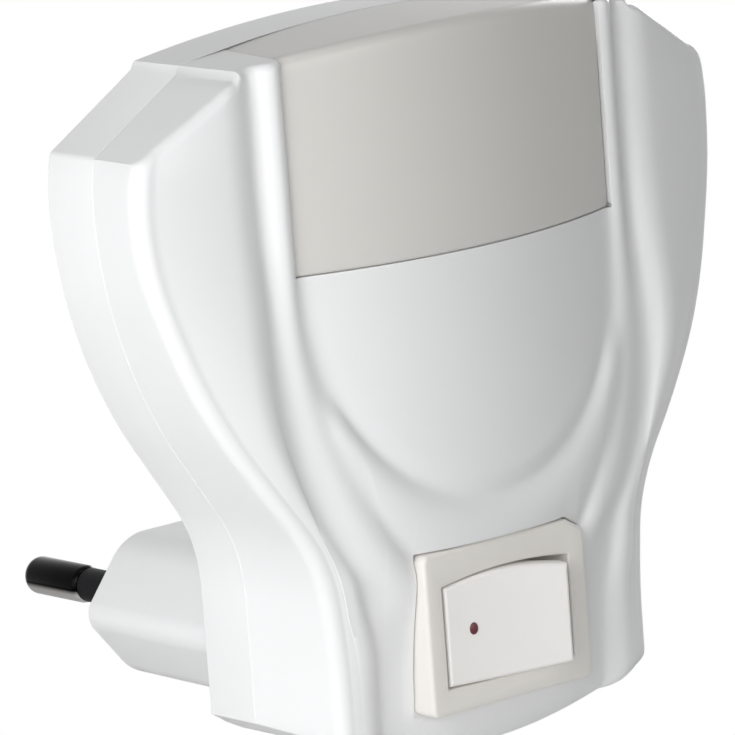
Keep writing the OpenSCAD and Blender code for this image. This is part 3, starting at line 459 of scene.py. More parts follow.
bm = bmesh.new()
rim, back = loft(bm, body_outline, [(seam, parting_y), (0, parting_y + seam)]
                 + rounded(rear_edge_r, 0, rear_y, -1))
root = [(-plug_draft - plug_root_r * math.cos(t), rear_y + plug_root_r * (1 - math.sin(t)))
        for t in [math.pi / 2 * i / 5 for i in range(6)]]
foot, face = loft(bm, plug_outline, root + rounded(plug_edge_r, 0, 0, -1))
fill(bm, back, foot)
holes = [ring(bm, circle_points(sleeve_r + sleeve_gap, s * pin_half_pitch, 0), 0) for s in (-1, 1)]
fill(bm, face, *holes)
facing(bm, 1, 1)
shell_wall(bm, housing_t)
piece(bm, "housing_rear", white_plastic, "housing", "back_housing", slot="housing")

# ---- Front cover ----
# A white ABS moulding that snaps over the rear half. Its face is a hollow dish with a raised limb on
# each side of the lens, and a domed tongue with a rolled collar that runs down to the switch.
lens_half_w = 20.9
lens_z = 39.6
dome_d = 14.2
dome_fall = 4.5
edge_r = 1.7
rim_r = 1
base_r = 2
bezel_half_w = 10.7
bezel_half_h = 8.3
bezel_z = 1.88
bezel_gap = 0.15
seat_d = 11.1
corner_cut = (2.1, 1.25)
cut_fade = (4, 5)
hood_taper = 1.6
hood_taper_l = 9
hood_taper_margin = 0.4
cover_t = 1.2
flange_l = 2.3
ledge_w = 1
lens_corner_r = 0.3
shoulder_corner_r = 0.45
edge_split_z = 20
front_step = 0.5
pocket_step = 0.15
near = 0.01
# The lean of the sides, and of the shoulder's corner. A span is the height it starts at, and its length
lean_low = -1.3
lean_middle = 0.35
lean_high = 0.7
lean_low_span = (-2, 22)
lean_high_span = (34, 10)
corner_lean = 1.2
corner_lean_z = 51.2
corner_lean_h = 3.2
corner_lean_end = 0.8
shoulder_draft = 0.3
shoulder_draft_w = 2
# The floor that the other forms of the face rise from: depths at its middle, top and bottom
floor_middle_d = 13.6
floor_top_d = 12.2
floor_low_d = 11.4
floor_middle_z = 15
floor_top_h = 23
floor_low_h = 26
floor_arch = 0.0053
# The limbs, and the web beside them
limb_h = 0.85
limb_low_x = 12
limb_top_x = lens_half_w + 1
limb_bend = 0.0019
limb_bend_z = 38
limb_bend_power = 2.5
limb_top_w = 1.3
limb_more_w = 1.5
limb_w_span = (40, -24)
limb_end_span = (-1, 12)
web_drop = 0.25
web_slope = 3
# The tongue and its collar
tongue_l = 24.7
tongue_core = 0.3
tongue_flank_w = 2.6
tongue_flank_power = 0.75
dome_swell = 0.7
dome_swell_span = (lens_z, -22)
collar_h = 0.95
collar_w = 1.4
collar_more_w = 0.144
collar_more_z = 25.5
collar_span = (31, -8)
collar_sink = 0.5
collar_sink_span = (26, 6)
# The dish: its valley beside the limb, and the pillow that swells from it to the edge
edge_top_d = 8
edge_low_d = 11.8
edge_d_span = (48, -37)
valley_top_d = 9
valley_low_d = 11.8
valley_foot_d = 10.9
valley_span = (50.5, -41)
valley_low_z = 9
valley_foot_h = 15
valley_gap = 1
valley_foot_x = 15
valley_to_edge = 1.5
pillow_d = 1.3
pillow_w = 3.6
pillow_share = 0.65
crease_r = 0.5
dish_crease_r = 0.9

pocket_half_w = bezel_half_w + bezel_gap
pocket_low_z = bezel_z - bezel_half_h - bezel_gap
pocket_top_z = bezel_z + bezel_half_h + bezel_gap
behind_seat_y = parting_y - seat_d - 0.3


def ease_over(z, span):
    """A gentle share of a span in height, which is its start and its length. A negative length runs down"""
    return ease((z - span[0]) / span[1])


def front_x(z):
    """Half of the width at the front edge: the cover's sides lean out above the neck, and in below it"""
    lean = (mix(lean_low, lean_middle, ease_over(z, lean_low_span))
            + (lean_high - lean_middle) * ease_over(z, lean_high_span))
    over = min(max(z - corner_lean_z, 0) / corner_lean_h, corner_lean_end)
    return side_x(z) + lean - corner_lean * (1 - math.sqrt(1 - over ** 2))


def front_top_z(a, lean=1):
    """Height of the cover's top edge, whose shoulders rise a little towards the front"""
    return top_z(a) + shoulder_draft * lean * ease((a - hood_half_w) / shoulder_draft_w)


def blend_max(a, b, k):
    """The larger of two heights, with the crease between them filleted over k"""
    h = max(k - abs(a - b), 0) / k
    return max(a, b) + h * h * k / 4


def edge_drop(d, r):
    """How far a quarter-round edge has fallen at distance d from the rim"""
    s = clamp(1 - d / r)
    return r * (1 - math.sqrt(1 - s * s))


# All depths are measured forward from the parting line, at a half width a and a height z
def floor_d(a, z):
    """The floor between the forms"""
    if z > floor_middle_z:
        d = mix(floor_middle_d, floor_top_d, ease((z - floor_middle_z) / floor_top_h))
    else:
        d = mix(floor_middle_d, floor_low_d, ease((floor_middle_z - z) / floor_low_h))
    return d - floor_arch * a * a


def limb_x(z):
    """Half width at which a limb's crest runs"""
    return max(limb_low_x, limb_top_x - limb_bend * max(0, limb_bend_z - z) ** limb_bend_power)


def limb_w(z):
    """Half of a limb's own width"""
    return limb_top_w + limb_more_w * ease_over(z, limb_w_span)


def limb_d(a, z):
    """A limb: a low ridge that fades out beside the switch"""
    return floor_d(a, z) + limb_h * ease_over(z, limb_end_span) * (1 - ((a - limb_x(z)) / limb_w(z)) ** 2)


def tongue_out(a, z):
    """Distance outside the tongue's edge: the lens's sides, then half an ellipse"""
    if z > lens_z:
        return a - lens_half_w
    n = math.hypot(a / lens_half_w, (lens_z - z) / tongue_l)
    return -lens_half_w / 2 if n < tongue_core else (n - 1) / n * math.hypot(a, lens_z - z)


def dome_reach(a, z):
    """The domed surface that the lens and the tongue share"""
    return dome_d + dome_swell * ease_over(z, dome_swell_span) - dome_fall * (a / lens_half_w) ** 2


def tongue_d(a, z):
    """The tongue: the dome, with a rounded flank down to the floor"""
    over = tongue_out(a, z)
    base = floor_d(a, z)
    if over > 0:
        return base - over
    s = clamp(1 + over / tongue_flank_w)
    return base + (dome_reach(a, z) - base) * (1 - s * s) ** tongue_flank_power


def collar_d(a, z):
    """The rolled collar around the tongue's end, which widens downwards"""
    w = collar_w + collar_more_w * max(0, collar_more_z - z)
    rise = collar_h * ease_over(z, collar_span) * (1 - ((tongue_out(a, z) - w) / w) ** 2)
    return floor_d(a, z) + rise - collar_sink * ease_over(z, collar_sink_span)


def dish_d(a, z):
    """The gently arched surface between the limbs and the front edge"""
    edge_depth = mix(edge_top_d, edge_low_d, ease_over(z, edge_d_span))
    valley_z = max(z, valley_low_z)
    valley = limb_x(valley_z) + limb_w(valley_z) + valley_gap
    if z > valley_low_z:
        valley_depth = mix(valley_top_d, valley_low_d, ease_over(z, valley_span))
    else:
        valley_depth = mix(valley_low_d, valley_foot_d, ease((valley_low_z - z) / valley_foot_h))
    if z < valley_low_z:
        valley = mix(valley_foot_x, valley, ease(z / valley_low_z))
    edge = front_x(z) - edge_r
    valley = min(valley, edge - valley_to_edge)
    t = clamp((a - valley) / (edge - valley))
    run = min(pillow_w, pillow_share * (edge - valley))
    bulge = 1 - (1 - clamp((a - valley) / run)) ** 2
    return mix(valley_depth, edge_depth, t) + pillow_d * run / pillow_w * bulge * (1 - t * t)


def face_d(a, z):
    """All forms of the face, with filleted creases between them"""
    web = floor_d(a, z) - web_drop - web_slope * max(0, a - limb_x(z))
    ridges = blend_max(blend_max(tongue_d(a, z), collar_d(a, z), crease_r),
                       blend_max(limb_d(a, z), web, crease_r), crease_r)
    return blend_max(ridges, dish_d(a, z), dish_crease_r)


def cover_d(a, z):
    """The face with its rounded front edge"""
    if z > edge_split_z:
        rim = edge_drop(front_top_z(a) - z, rim_r)
    else:
        rim = edge_drop(z - bottom_z(a), base_r)
    return face_d(a, z) - math.hypot(edge_drop(front_x(z) - a, edge_r), rim)


# Grid lines follow the shape: the pocket, the tongue's side, the foot of the limb and the rounded edge.
# Each band between two of these has its own count of cells, from the middle outwards and from the base up
columns = [27, 25, 13, 1, 20, 9]
rows = [9, 3, 42, 76, 46, 7]
edge_column = 5
edge_row = 5
foot_low_x = 17.6
foot_span = (-2, 34)
groove_low_x = 14.5
crossing_steps = 14


def along(counts, k):
    """Which band a grid line lies in, and how far along it"""
    for band, count in enumerate(counts):
        if k <= count or band == len(counts) - 1:
            return band, k / count
        k -= count


def grid_x(k, z, lean):
    """Half width of the grid's column k at a height"""
    side = mix(side_x(z), front_x(z), lean)
    foot = min(mix(foot_low_x, hood_half_w, ease_over(z, foot_span)), side - edge_r - 1)
    rise = ease((z - pocket_top_z) / (lens_z - pocket_top_z))
    groove = min(mix(groove_low_x, lens_half_w, rise), foot - 0.5)
    lines = [0, pocket_half_w, groove, foot, foot + hood_step_w, side - edge_r]
    band, t = along(columns, k)
    if band == edge_column:
        return side - edge_r * (1 - math.sin(math.pi / 2 * t))
    return mix(lines[band], lines[band + 1], t)


def grid_z(k, a, fold_r, lean):
    """Height of the grid's row k at a half width"""
    low = bottom_z(a)
    lines = [low, low + base_r, max(pocket_low_z, low + base_r + 0.2), pocket_top_z, lens_z,
             front_top_z(a, lean) - fold_r]
    band, t = along(rows, k)
    if band == 0:
        return low + base_r * (1 - math.cos(math.pi / 2 * t))
    if band == edge_row:
        return lines[edge_row] + fold_r * math.sin(math.pi / 2 * t)
    return mix(lines[band], lines[band + 1], t)


def crossing(column, row, fold_r, lean=1):
    """Where two grid lines cross. They bend with each other, so it is settled in a few steps"""
    a = 0
    for _ in range(crossing_steps):
        z = grid_z(row, a, fold_r, lean)
        a = grid_x(abs(column), z, lean)
    return a, z


def hood_draw(a, z, d):
    """How far the lens opening narrows on top of the hood, towards the parting line"""
    end = hood_half_w - hood_taper_margin
    inside = min(a / lens_half_w, (end - a) / (end - lens_half_w))
    return hood_taper * clamp(1 - d / hood_taper_l) * clamp(inside) * (z > lens_z)


def cut_dip(x, z):
    """How far the grid dips beside the cut corner of the switch frame"""
    over = (clamp((x - pocket_half_w + corner_cut[0]) / corner_cut[0])
            * clamp(1 - (x - pocket_half_w) / cut_fade[0]))
    return corner_cut[1] * over * clamp(1 - abs(z - pocket_top_z) / cut_fade[1])


half_columns = sum(columns)
all_rows = sum(rows)
lens_column = columns[0] + columns[1]
pocket_rows = (sum(rows[:2]), sum(rows[:3]))
lens_row = sum(rows[:4])


def flat_grid(first_column, last_column, first_row, last_row):
    """A grid whose X and Y count the grid lines, before it is laid on the surface"""
    bm = bmesh.new()
    across = last_column - first_column
    up = last_row - first_row
    bmesh.ops.create_grid(bm, x_segments=across, y_segments=up, size=1)
    middle = ((first_column + last_column) / 2, (first_row + last_row) / 2, 0)
    bmesh.ops.scale(bm, vec=(across / 2, up / 2, 1), verts=bm.verts)
    bmesh.ops.translate(bm, vec=middle, verts=bm.verts)
    return bm


def cut_out(bm, inside):
    """Deletes the grid cells whose middle is inside"""
    gone = [f for f in bm.faces if inside(f.calc_center_median())]
    bmesh.ops.delete(bm, geom=gone, context="FACES")


def draw_out(bm, edges, levels):
    """Extrudes an open rim, one level of Z in the flat grid for each step"""
    for _ in range(abs(levels)):
        new = bmesh.ops.extrude_edge_only(bm, edges=edges)["geom"]
        verts = {g for g in new if isinstance(g, bmesh.types.BMVert)}
        bmesh.ops.translate(bm, vec=(0, 0, math.copysign(1, levels)), verts=list(verts))
        edges = [g for g in new if isinstance(g, bmesh.types.BMEdge) and set(g.verts) <= verts]
    return edges


def soften(bm, radius, segments, chosen):
    """Bevels the edges that chosen() picks"""
    edges = [e for e in bm.edges if len(e.link_faces) == 2 and chosen(e)]
    bmesh.ops.bevel(bm, geom=edges, offset=radius, offset_type="OFFSET", affect="EDGES",
                    segments=segments, profile=0.5, material=-1, clamp_overlap=True)


def sharp(edge, degrees=50):
    """Whether an edge's faces turn by more than an angle"""
    return edge.calc_face_angle(0) > math.radians(degrees)


def on_rim(edge):
    """Whether an open edge of the flat grid lies on its outer border"""
    return all(abs(v.co.x) == half_columns or v.co.y in (0, all_rows) for v in edge.verts)


def on_pocket(edge):
    """Whether an open edge of the flat grid lies around the switch's pocket"""
    return all(abs(v.co.x) <= columns[0] and rows[0] <= v.co.y <= pocket_rows[1] + 0.1 for v in edge.verts)


bm = flat_grid(-half_columns, half_columns, 0, all_rows)
cut_out(bm, lambda c: abs(c.x) < lens_column and c.y > lens_row)
cut_out(bm, lambda c: abs(c.x) < columns[0] and pocket_rows[0] < c.y < pocket_rows[1])
open_edges = [e for e in bm.edges if e.is_boundary]
outer = [e for e in open_edges if on_rim(e)]
pocket = [e for e in open_edges if on_pocket(e)]
draw_out(bm, outer, 3)
draw_out(bm, pocket, -2)
inner = [v for v in bm.verts if v.co.z == 0 and abs(v.co.x) < half_columns - columns[-1] - 1
         and rows[0] < v.co.y < all_rows - rows[-1]]
for v in bm.verts:
    column, row, level = (round(c) for c in v.co)
    a, z = crossing(column, row, rim_r)
    d = cover_d(a, z)
    if level > 0:
        d = (d - front_step, seam, 0)[level - 1]
        a, z = crossing(column, row, rim_r, d / cover_d(a, z))
        a -= hood_draw(a, z, d)
    if level == 3:
        z += seam * (clamp(1 - (z - bottom_z(a)) / base_r) - clamp(1 - (front_top_z(a, 0) - z) / rim_r))
        a -= seam * clamp(1 - (side_x(z) - a) / edge_r)
    elif level < 0:
        d = min(seat_d, d - pocket_step)
    if level == -2:
        a *= 1 - ledge_w / pocket_half_w
        z = mix(bezel_z, z, 1 - ledge_w / (bezel_half_h + bezel_gap))
    v.co = (math.copysign(a, column), parting_y - d, z - cut_dip(math.copysign(a, column), z))
for _ in range(3):
    kept_sharp = {v for v in inner if v.is_boundary or any(map(sharp, v.link_edges))}
    bmesh.ops.smooth_vert(bm, verts=[v for v in inner if v not in kept_sharp], factor=0.5, use_axis_y=True)
facing(bm, 1, -1)


def square_in(v, inward):
    """Turns the walls of the lens opening straight back, so that they stand behind the lens's edge"""
    if abs(v.co.x) < lens_half_w + near and v.co.z > lens_z - near and v.is_boundary:
        side = abs(v.co.z - lens_z) > near
        low = abs(v.co.x) < lens_half_w - near and not side
        narrower = math.copysign(hood_taper / hood_taper_l, -v.co.x) * clamp((v.co.z - hood_end_z + 5) / 2)
        inward = Vector((narrower * inward.y if side else inward.x, inward.y, 0 if low else inward.z))
        inward = inward.normalized() * flange_l
    return inward


def by_opening(v):
    """Whether a vertex lies on the edge of the lens opening or of the switch's pocket"""
    x, y, z = v.co
    return (abs(abs(x) - lens_half_w) < near and z > lens_z - near
            or abs(z - lens_z) < near and abs(x) < lens_half_w + near
            or abs(x) < pocket_half_w + near and pocket_low_z - near < z < pocket_top_z + near
            and y < behind_seat_y)


def on_shoulder_corner(e):
    """Whether an edge runs from front to back along the shoulder's outer corner"""
    first, second = (v.co for v in e.verts)
    return (all(v.co.z > 50 and abs(v.co.x) > 33 for v in e.verts)
            and abs((first - second).normalized().y) > 0.8
            and all(f.normal.z > 0.1 or f.normal.x * first.x > 0.1 for f in e.link_faces))


shell_wall(bm, cover_t, square_in)
soften(bm, lens_corner_r, 3, lambda e: sharp(e) and all(by_opening(v) for v in e.verts))
soften(bm, shoulder_corner_r, 4, lambda e: sharp(e, 30) and on_shoulder_corner(e))
piece(bm, "cover_front", white_plastic, "housing", "front_cover", slot="housing")

# ---- Lens ----
# A milky acrylic diffuser that fills the gap between the limbs, folds over the hood and ends at the
# parting line. It is held from behind by the cover, with a fine gap all round.
lens_gap = 0.08
lens_fold_r = 1.2
lens_edge_r = 0.1
lens_wall = 1.5
lens_side_r = 0.25


def milky(name, colour):
    """Opal acrylic: light scatters below a smooth satin skin, and thick places look warmer"""
    made = plastic(name, colour, 0.33, grain=0.003, cloud=0.006)
    skin = made.node_tree.nodes["Principled BSDF"]
    skin.inputs["Subsurface Weight"].default_value = 0.35
    skin.inputs["Subsurface Radius"].default_value = (1, 0.95, 0.8)
    skin.inputs["Subsurface Scale"].default_value = 0.003
    return made


lens_milk = milky("lens_milk", (0.69, 0.68, 0.645))

bm = flat_grid(-lens_column, lens_column, lens_row, all_rows)
draw_out(bm, [e for e in bm.edges if all(v.co.y == all_rows for v in e.verts)], 3)
for v in bm.verts:
    column, row, level = (round(c) for c in v.co)
    a, z = crossing(column, row, lens_fold_r)
    a -= lens_gap * (abs(column) == lens_column)
    z += lens_gap * (row == lens_row)
    d = dome_reach(a, z) - edge_drop(top_z(a) - z, lens_fold_r)
    d = (d, d - front_step, lens_gap + lens_edge_r, lens_gap)[level]
    a -= hood_draw(a, z, d)
    z -= lens_edge_r * (level == 3)
    v.co = (math.copysign(a, column), parting_y - d, z)
facing(bm, 1, -1)
shell_wall(bm, lens_wall)
soften(bm, lens_side_r, 3, lambda e: sharp(e) and (
    all(abs(abs(v.co.x) - lens_half_w + lens_gap) < near for v in e.verts)
    or all(abs(v.co.z - lens_z - lens_gap) < near for v in e.verts)))
piece(bm, "lens_diffuser", lens_milk, "housing", "lens", slot="lens")

# ---- Pins and sleeves ----
# Two turned brass pins, plated with dark nickel and polished, with a painted reflection that makes them
# nearly black along the top. Each has a domed tip, and a narrower shank that a black insulating sleeve is
# moulded around.
pin_r = 2
pin_tip_y = 19.5
pin_tip_l = 1.5
pin_bevel = 0.6
pin_core_r = 1.4
pin_collar_r = 3
pin_collar_y = (-5.5, -4)
pin_tail_r = 1.2
pin_tail_y = -11
sleeve_end_y = 10
sleeve_back_y = -4
sleeve_rim_r = 0.3
sleeve_bore_r = pin_core_r + 0.05
small_bevel = 0.15
tail_bevel = 0.2
lip_r = sleeve_r + 0.12
lip_y = sleeve_end_y + 0.2
# Heights at which the painted reflection on the pins turns from grey below to near black above, and the
# share of colour left at the top
painted_reflection_from = -0.0009
painted_reflection_to = -0.0004
painted_reflection_end = 0.008


def turned(bm, profile, x, sides=64):
    """Spins a profile of radius and y around a pin's axis"""
    verts = [bm.verts.new((r, y, 0)) for r, y in profile]
    edges = [bm.edges.new(pair) for pair in zip(verts, verts[1:])]
    bmesh.ops.spin(bm, geom=verts + edges, cent=(0, 0, 0), axis=(0, 1, 0), angle=math.tau, steps=sides,
                   use_merge=True, use_duplicate=False)
    bmesh.ops.remove_doubles(bm, verts=bm.verts, dist=0.0001)
    bmesh.ops.recalc_face_normals(bm, faces=bm.faces)
    bmesh.ops.translate(bm, vec=(x, 0, 0), verts=bm.verts)


def metal(name, colour, roughness, marks=0.0, stretch=(1, 1, 1)):
    """Bare or plated metal, with fine drawn or turned marks. A small number in stretch draws them out"""
    made = bpy.data.materials.new(name)
    made.use_nodes = True
    skin = made.node_tree.nodes["Principled BSDF"]
    skin.inputs["Metallic"].default_value = 1
    place = node_of(made, "ShaderNodeTexCoord")
    turn = node_of(made, "ShaderNodeMapping", Scale=stretch)
    fine = node_of(made, "ShaderNodeTexNoise", Scale=700, Detail=3, Roughness=0.6)
    broad = node_of(made, "ShaderNodeTexNoise", Scale=120, Detail=2)
    shade = node_of(made, "ShaderNodeMix")
    shade.data_type = "RGBA"
    shade.inputs[6].default_value = (*[c * 0.9 for c in colour], 1)
    shade.inputs[7].default_value = (*[min(c * 1.08, 1) for c in colour], 1)
    gloss = node_of(made, "ShaderNodeMapRange", To_Min=roughness * 0.75, To_Max=roughness * 1.3)
    relief = node_of(made, "ShaderNodeBump", Strength=marks, Distance=0.0005)
    join(made, place, turn, "Object", "Vector")
    join(made, turn, fine, 0, "Vector")
    join(made, place, broad, "Object", "Vector")
    join(made, broad, shade, 0, 0)
    join(made, shade, skin, 2, "Base Color")
    join(made, fine, gloss, 0, "Value")
    join(made, gloss, skin, 0, "Roughness")
    join(made, fine, relief, 0, "Height")
    join(made, relief, skin, 0, "Normal")
    return made


dark_nickel_painted_reflection = metal("dark_nickel_painted_reflection", (0.6, 0.58, 0.56), 0.16, marks=0.03, stretch=(0.2, 1, 0.2))
# Painted reflection: the pins' colour is made nearly black along the top and greyer below
skin = dark_nickel_painted_reflection.node_tree.nodes["Principled BSDF"]
shade_link = skin.inputs["Base Color"].links[0]
height = node_of(dark_nickel_painted_reflection, "ShaderNodeSeparateXYZ")
painted_reflection = node_of(dark_nickel_painted_reflection, "ShaderNodeMapRange", From_Min=painted_reflection_from, From_Max=painted_reflection_to,
                  To_Min=1, To_Max=painted_reflection_end)
darker = node_of(dark_nickel_painted_reflection, "ShaderNodeVectorMath")
darker.operation = "SCALE"
join(dark_nickel_painted_reflection, node_of(dark_nickel_painted_reflection, "ShaderNodeTexCoord"), height, "Object")
join(dark_nickel_painted_reflection, height, painted_reflection, "Z", "Value")
join(dark_nickel_painted_reflection, shade_link.from_node, darker, 2, 0)
join(dark_nickel_painted_reflection, painted_reflection, darker, 0, "Scale")
join(dark_nickel_painted_reflection, darker, skin, 0, "Base Color")
black_sleeve = plastic("black_sleeve", (0.008, 0.008, 0.009), 0.45, grain=0.02, cloud=0.2)
black_sleeve.node_tree.nodes["Principled BSDF"].inputs["Specular IOR Level"].default_value = 0.05

dome_turns = [math.pi / 2 * i / 10 for i in range(11)]
dome = [(pin_r * math.cos(t), pin_tip_y - pin_tip_l * (1 - math.sin(t))) for t in dome_turns]
pin_profile = [(0, pin_tail_y), (pin_tail_r - tail_bevel, pin_tail_y), (pin_tail_r, pin_tail_y + tail_bevel),
               (pin_tail_r, pin_collar_y[0]), (pin_collar_r - small_bevel, pin_collar_y[0]),
               (pin_collar_r, pin_collar_y[0] + small_bevel), (pin_collar_r, pin_collar_y[1]),
               (pin_core_r, pin_collar_y[1]), (pin_core_r, sleeve_end_y), (sleeve_r - 0.05, sleeve_end_y),
               (lip_r, lip_y), (pin_r, sleeve_end_y + pin_bevel)] + dome
rim_turns = [math.pi / 2 * i / 4 for i in range(5)]
sleeve_rim = [(sleeve_r - sleeve_rim_r * (1 - math.cos(t)), sleeve_end_y - sleeve_rim_r * (1 - math.sin(t)))
              for t in rim_turns]
sleeve_profile = ([(sleeve_bore_r, sleeve_back_y), (sleeve_r, sleeve_back_y)] + sleeve_rim
                  + [(sleeve_bore_r, sleeve_end_y), (sleeve_bore_r, sleeve_back_y)])
for name, x in (("live", -pin_half_pitch), ("neutral", pin_half_pitch)):
    bm = bmesh.new()
    turned(bm, pin_profile, x)
    piece(bm, name + "_pin_metal", dark_nickel_painted_reflection, "housing", name + "_pin", slot="pin_metal", crease=30)
    bm = bmesh.new()
    turned(bm, sleeve_profile, x)
    piece(bm, name + "_pin_sleeve", black_sleeve, "housing", name + "_sleeve", slot="sleeve")

# ---- Plate that holds the pins, and its screw ----
# A white plate lies over the pins' collars inside the plug body, and one zinc-plated pan-head screw
# pulls it down on its post.
screw_zinc = metal("screw_zinc", (0.62, 0.62, 0.63), 0.3, marks=0.05)


def dress(material, *nodes):
    """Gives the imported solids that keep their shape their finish"""
    for name in nodes:
        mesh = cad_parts[name].data
        mesh.materials.clear()
        mesh.materials.append(material)


dress(white_plastic, "pin_retainer")
dress(screw_zinc, "retainer_screw")

# ---- Frame of the rocker switch ----
# A cream nylon moulding that snaps into the cover from the front. Its flange has one corner cut off
# and an opening with two bowed sides, and a box with a floor behind it holds the contacts.
frame_y = -46.05
flange_back_y = -43.1
body_back_y = -31
floor_front_y = -32.2
flange_edge_r = 0.45
flange_corner_r = 0.9
body_w = 19.2
body_h = 13.4
rocker_z = 1.4
open_half_w = 8.444
open_half_h = 5.2
open_bow = 0.7
low_bow = 0.2
open_edge_r = 0.3
snap_l = 4
snap_h = 0.5
snap_y = (2.1, 5.8)
cream = (0.84, 0.82, 0.775)


def bowed(half_w, half_h, rise, n=20):
    """A rectangle whose long sides bow outwards, the lower one less"""
    t = [2 * i / n - 1 for i in range(n + 1)]
    return ([(half_w * u, rocker_z + half_h + rise * (1 - u * u)) for u in t]
            + [(half_w * u, rocker_z - half_h - rise * low_bow * (1 - u * u)) for u in reversed(t)])


def round_corners(points, r, n=6):
    """A convex outline with every corner rounded"""
    made = []
    for i, p in enumerate(points):
        before, at, after = (Vector(q) for q in (points[i - 1], p, points[(i + 1) % len(points)]))
        back, on = (before - at).normalized(), (after - at).normalized()
        half = back.angle(on) / 2
        centre = at + (back + on).normalized() * r / math.sin(half)
        start = at + back * r / math.tan(half) - centre
        turn = (math.pi - 2 * half) * math.copysign(1, back.cross(on))
        made += [tuple(centre + Matrix.Rotation(-turn * k / n, 2) @ start) for k in range(n + 1)]
    return made


def box(bm, low, high):
    """A closed block between two corners"""
    middle = Matrix.Translation([(a + b) / 2 for a, b in zip(low, high)])
    size = Matrix.Diagonal((*[b - a for a, b in zip(low, high)], 1))
    bmesh.ops.create_cube(bm, size=1, matrix=middle @ size)


def on_face(v):
    """Whether a vertex lies on the frame's front face"""
    return abs(v.co.y - frame_y) < 0.001


def in_mouth(v):
    """Whether a vertex lies on the opening's wall"""
    return abs(v.co.x) < open_half_w + near and abs(v.co.z - rocker_z) < open_half_h + open_bow + near


def on_flange_edge(e):
    """Whether an edge lies around the flange's face or is one of its corners"""
    return (sharp(e, 25) and not any(in_mouth(v) for v in e.verts)
            and (all(v.co.y < flange_back_y - 0.1 for v in e.verts) or any(on_face(v) for v in e.verts)))


cream_plastic = plastic("cream_plastic", cream, 0.36, grain=0.01)

fx, fz = bezel_half_w, bezel_half_h
flange = [(-fx, bezel_z - fz), (fx, bezel_z - fz), (fx, bezel_z + fz - corner_cut[1]),
          (fx - corner_cut[0], bezel_z + fz), (-fx, bezel_z + fz)]
body = [(x * body_w / 2, bezel_z + z * body_h / 2) for x, z in ((-1, -1), (1, -1), (1, 1), (-1, 1))]
flange = round_corners(flange, flange_corner_r)
bm = bmesh.new()
face, flange_back = loft(bm, lambda w: flange, [(0, frame_y), (0, flange_back_y)])
body_front, body_back = loft(bm, lambda w: body, [(0, flange_back_y), (0, body_back_y)])
mouth, well = loft(bm, lambda w: bowed(open_half_w, open_half_h, open_bow),
                   [(0, frame_y), (0, floor_front_y)])
fill(bm, face, mouth)
fill(bm, flange_back, body_front)
fill(bm, body_back)
fill(bm, well)
bmesh.ops.recalc_face_normals(bm, faces=bm.faces)
bmesh.ops.dissolve_limit(bm, angle_limit=0.001, verts=bm.verts, edges=bm.edges)
soften(bm, flange_edge_r, 4, on_flange_edge)
soften(bm, open_edge_r, 3, lambda e: sharp(e) and all(on_face(v) and in_mouth(v) for v in e.verts))
for side in (-1, 1):
    x = side * body_w / 2
    box(bm, (min(x, x + side * snap_h), flange_back_y + snap_y[0], bezel_z - snap_l / 2),
        (max(x, x + side * snap_h), flange_back_y + snap_y[1], bezel_z + snap_l / 2))
piece(bm, "switch_bezel", cream_plastic, "housing", "switch_frame", slot="frame")

# ---- Rocker ----
# A warm white glossy cap with a hollow face, tipped to its left end. It turns on two studs behind
# its face, and a small dot of red paint marks the end that is pressed to switch the light on.
rocker_tilt = math.radians(10)
pivot_y = -41.75
rocker_half_w = 7.3
rocker_gap = 0.15
rocker_half_h = open_half_h - rocker_gap
rocker_face_y = frame_y - 1.2
rocker_hollow = 0.35
rocker_edge_r = 0.4
rocker_skirt = 1.8
hub_half_w = 3.7
hub_back_y = pivot_y + 1.8
stud_r = 1.2
stud_l = 12.8
tube_r = 1.8
tube_l = 4.2
mark_at = (-4.05, 1.8)
mark_r = 0.5
mark_stretch = (1, 0.3, 1.25)
warm_white = (0.95, 0.935, 0.91)

rocker_white = plastic("rocker_white", warm_white, 0.34, grain=0.003)


def on_cap_edge(e):
    """Whether an edge lies around the rocker's face"""
    return sharp(e) and all(v.co.y < rocker_face_y + rocker_hollow + near for v in e.verts)


def tip(bm):
    """Turns the rocker's forms about its axis to the end that is pressed in"""
    bmesh.ops.rotate(bm, cent=(0, pivot_y, 0), matrix=Matrix.Rotation(-rocker_tilt, 3, "Z"), verts=bm.verts)


bm = bmesh.new()
bmesh.ops.create_grid(bm, x_segments=36, y_segments=24, size=1)
rim = [e for e in bm.edges if e.is_boundary]
rim = draw_out(bm, rim, 3)
fill(bm, rim)
arc_r = (rocker_half_w ** 2 + rocker_hollow ** 2) / (2 * rocker_hollow)
for v in bm.verts:
    u, t, level = v.co
    x = u * rocker_half_w
    z = t * (rocker_half_h + open_bow * (1 if t > 0 else low_bow) * (1 - u * u))
    y = rocker_face_y + rocker_hollow - (arc_r - math.sqrt(arc_r ** 2 - x * x))
    level = round(level)
    if level == 1:
        y = rocker_face_y + rocker_skirt
    elif level > 1:
        x *= hub_half_w / rocker_half_w
        y = (pivot_y, hub_back_y)[level - 2]
    v.co = (x, y, rocker_z + z)
facing(bm, 1, -1)
soften(bm, rocker_edge_r, 5, on_cap_edge)
bmesh.ops.create_cone(bm, cap_ends=True, segments=32, radius1=stud_r, radius2=stud_r, depth=stud_l,
                      matrix=Matrix.Translation((0, pivot_y, bezel_z)))
upright = Matrix.Rotation(math.pi / 2, 4, "X")
bmesh.ops.create_cone(bm, cap_ends=True, segments=32, radius1=tube_r, radius2=tube_r, depth=tube_l,
                      matrix=Matrix.Translation((0, pivot_y + tube_l / 2, rocker_z)) @ upright)
tip(bm)
piece(bm, "rocker_cap", rocker_white, "rocker_body", "rocker", slot="rocker")

red_paint = plastic("red_paint", (0.11, 0.012, 0.018), 0.35, grain=0.02, cloud=0.3)

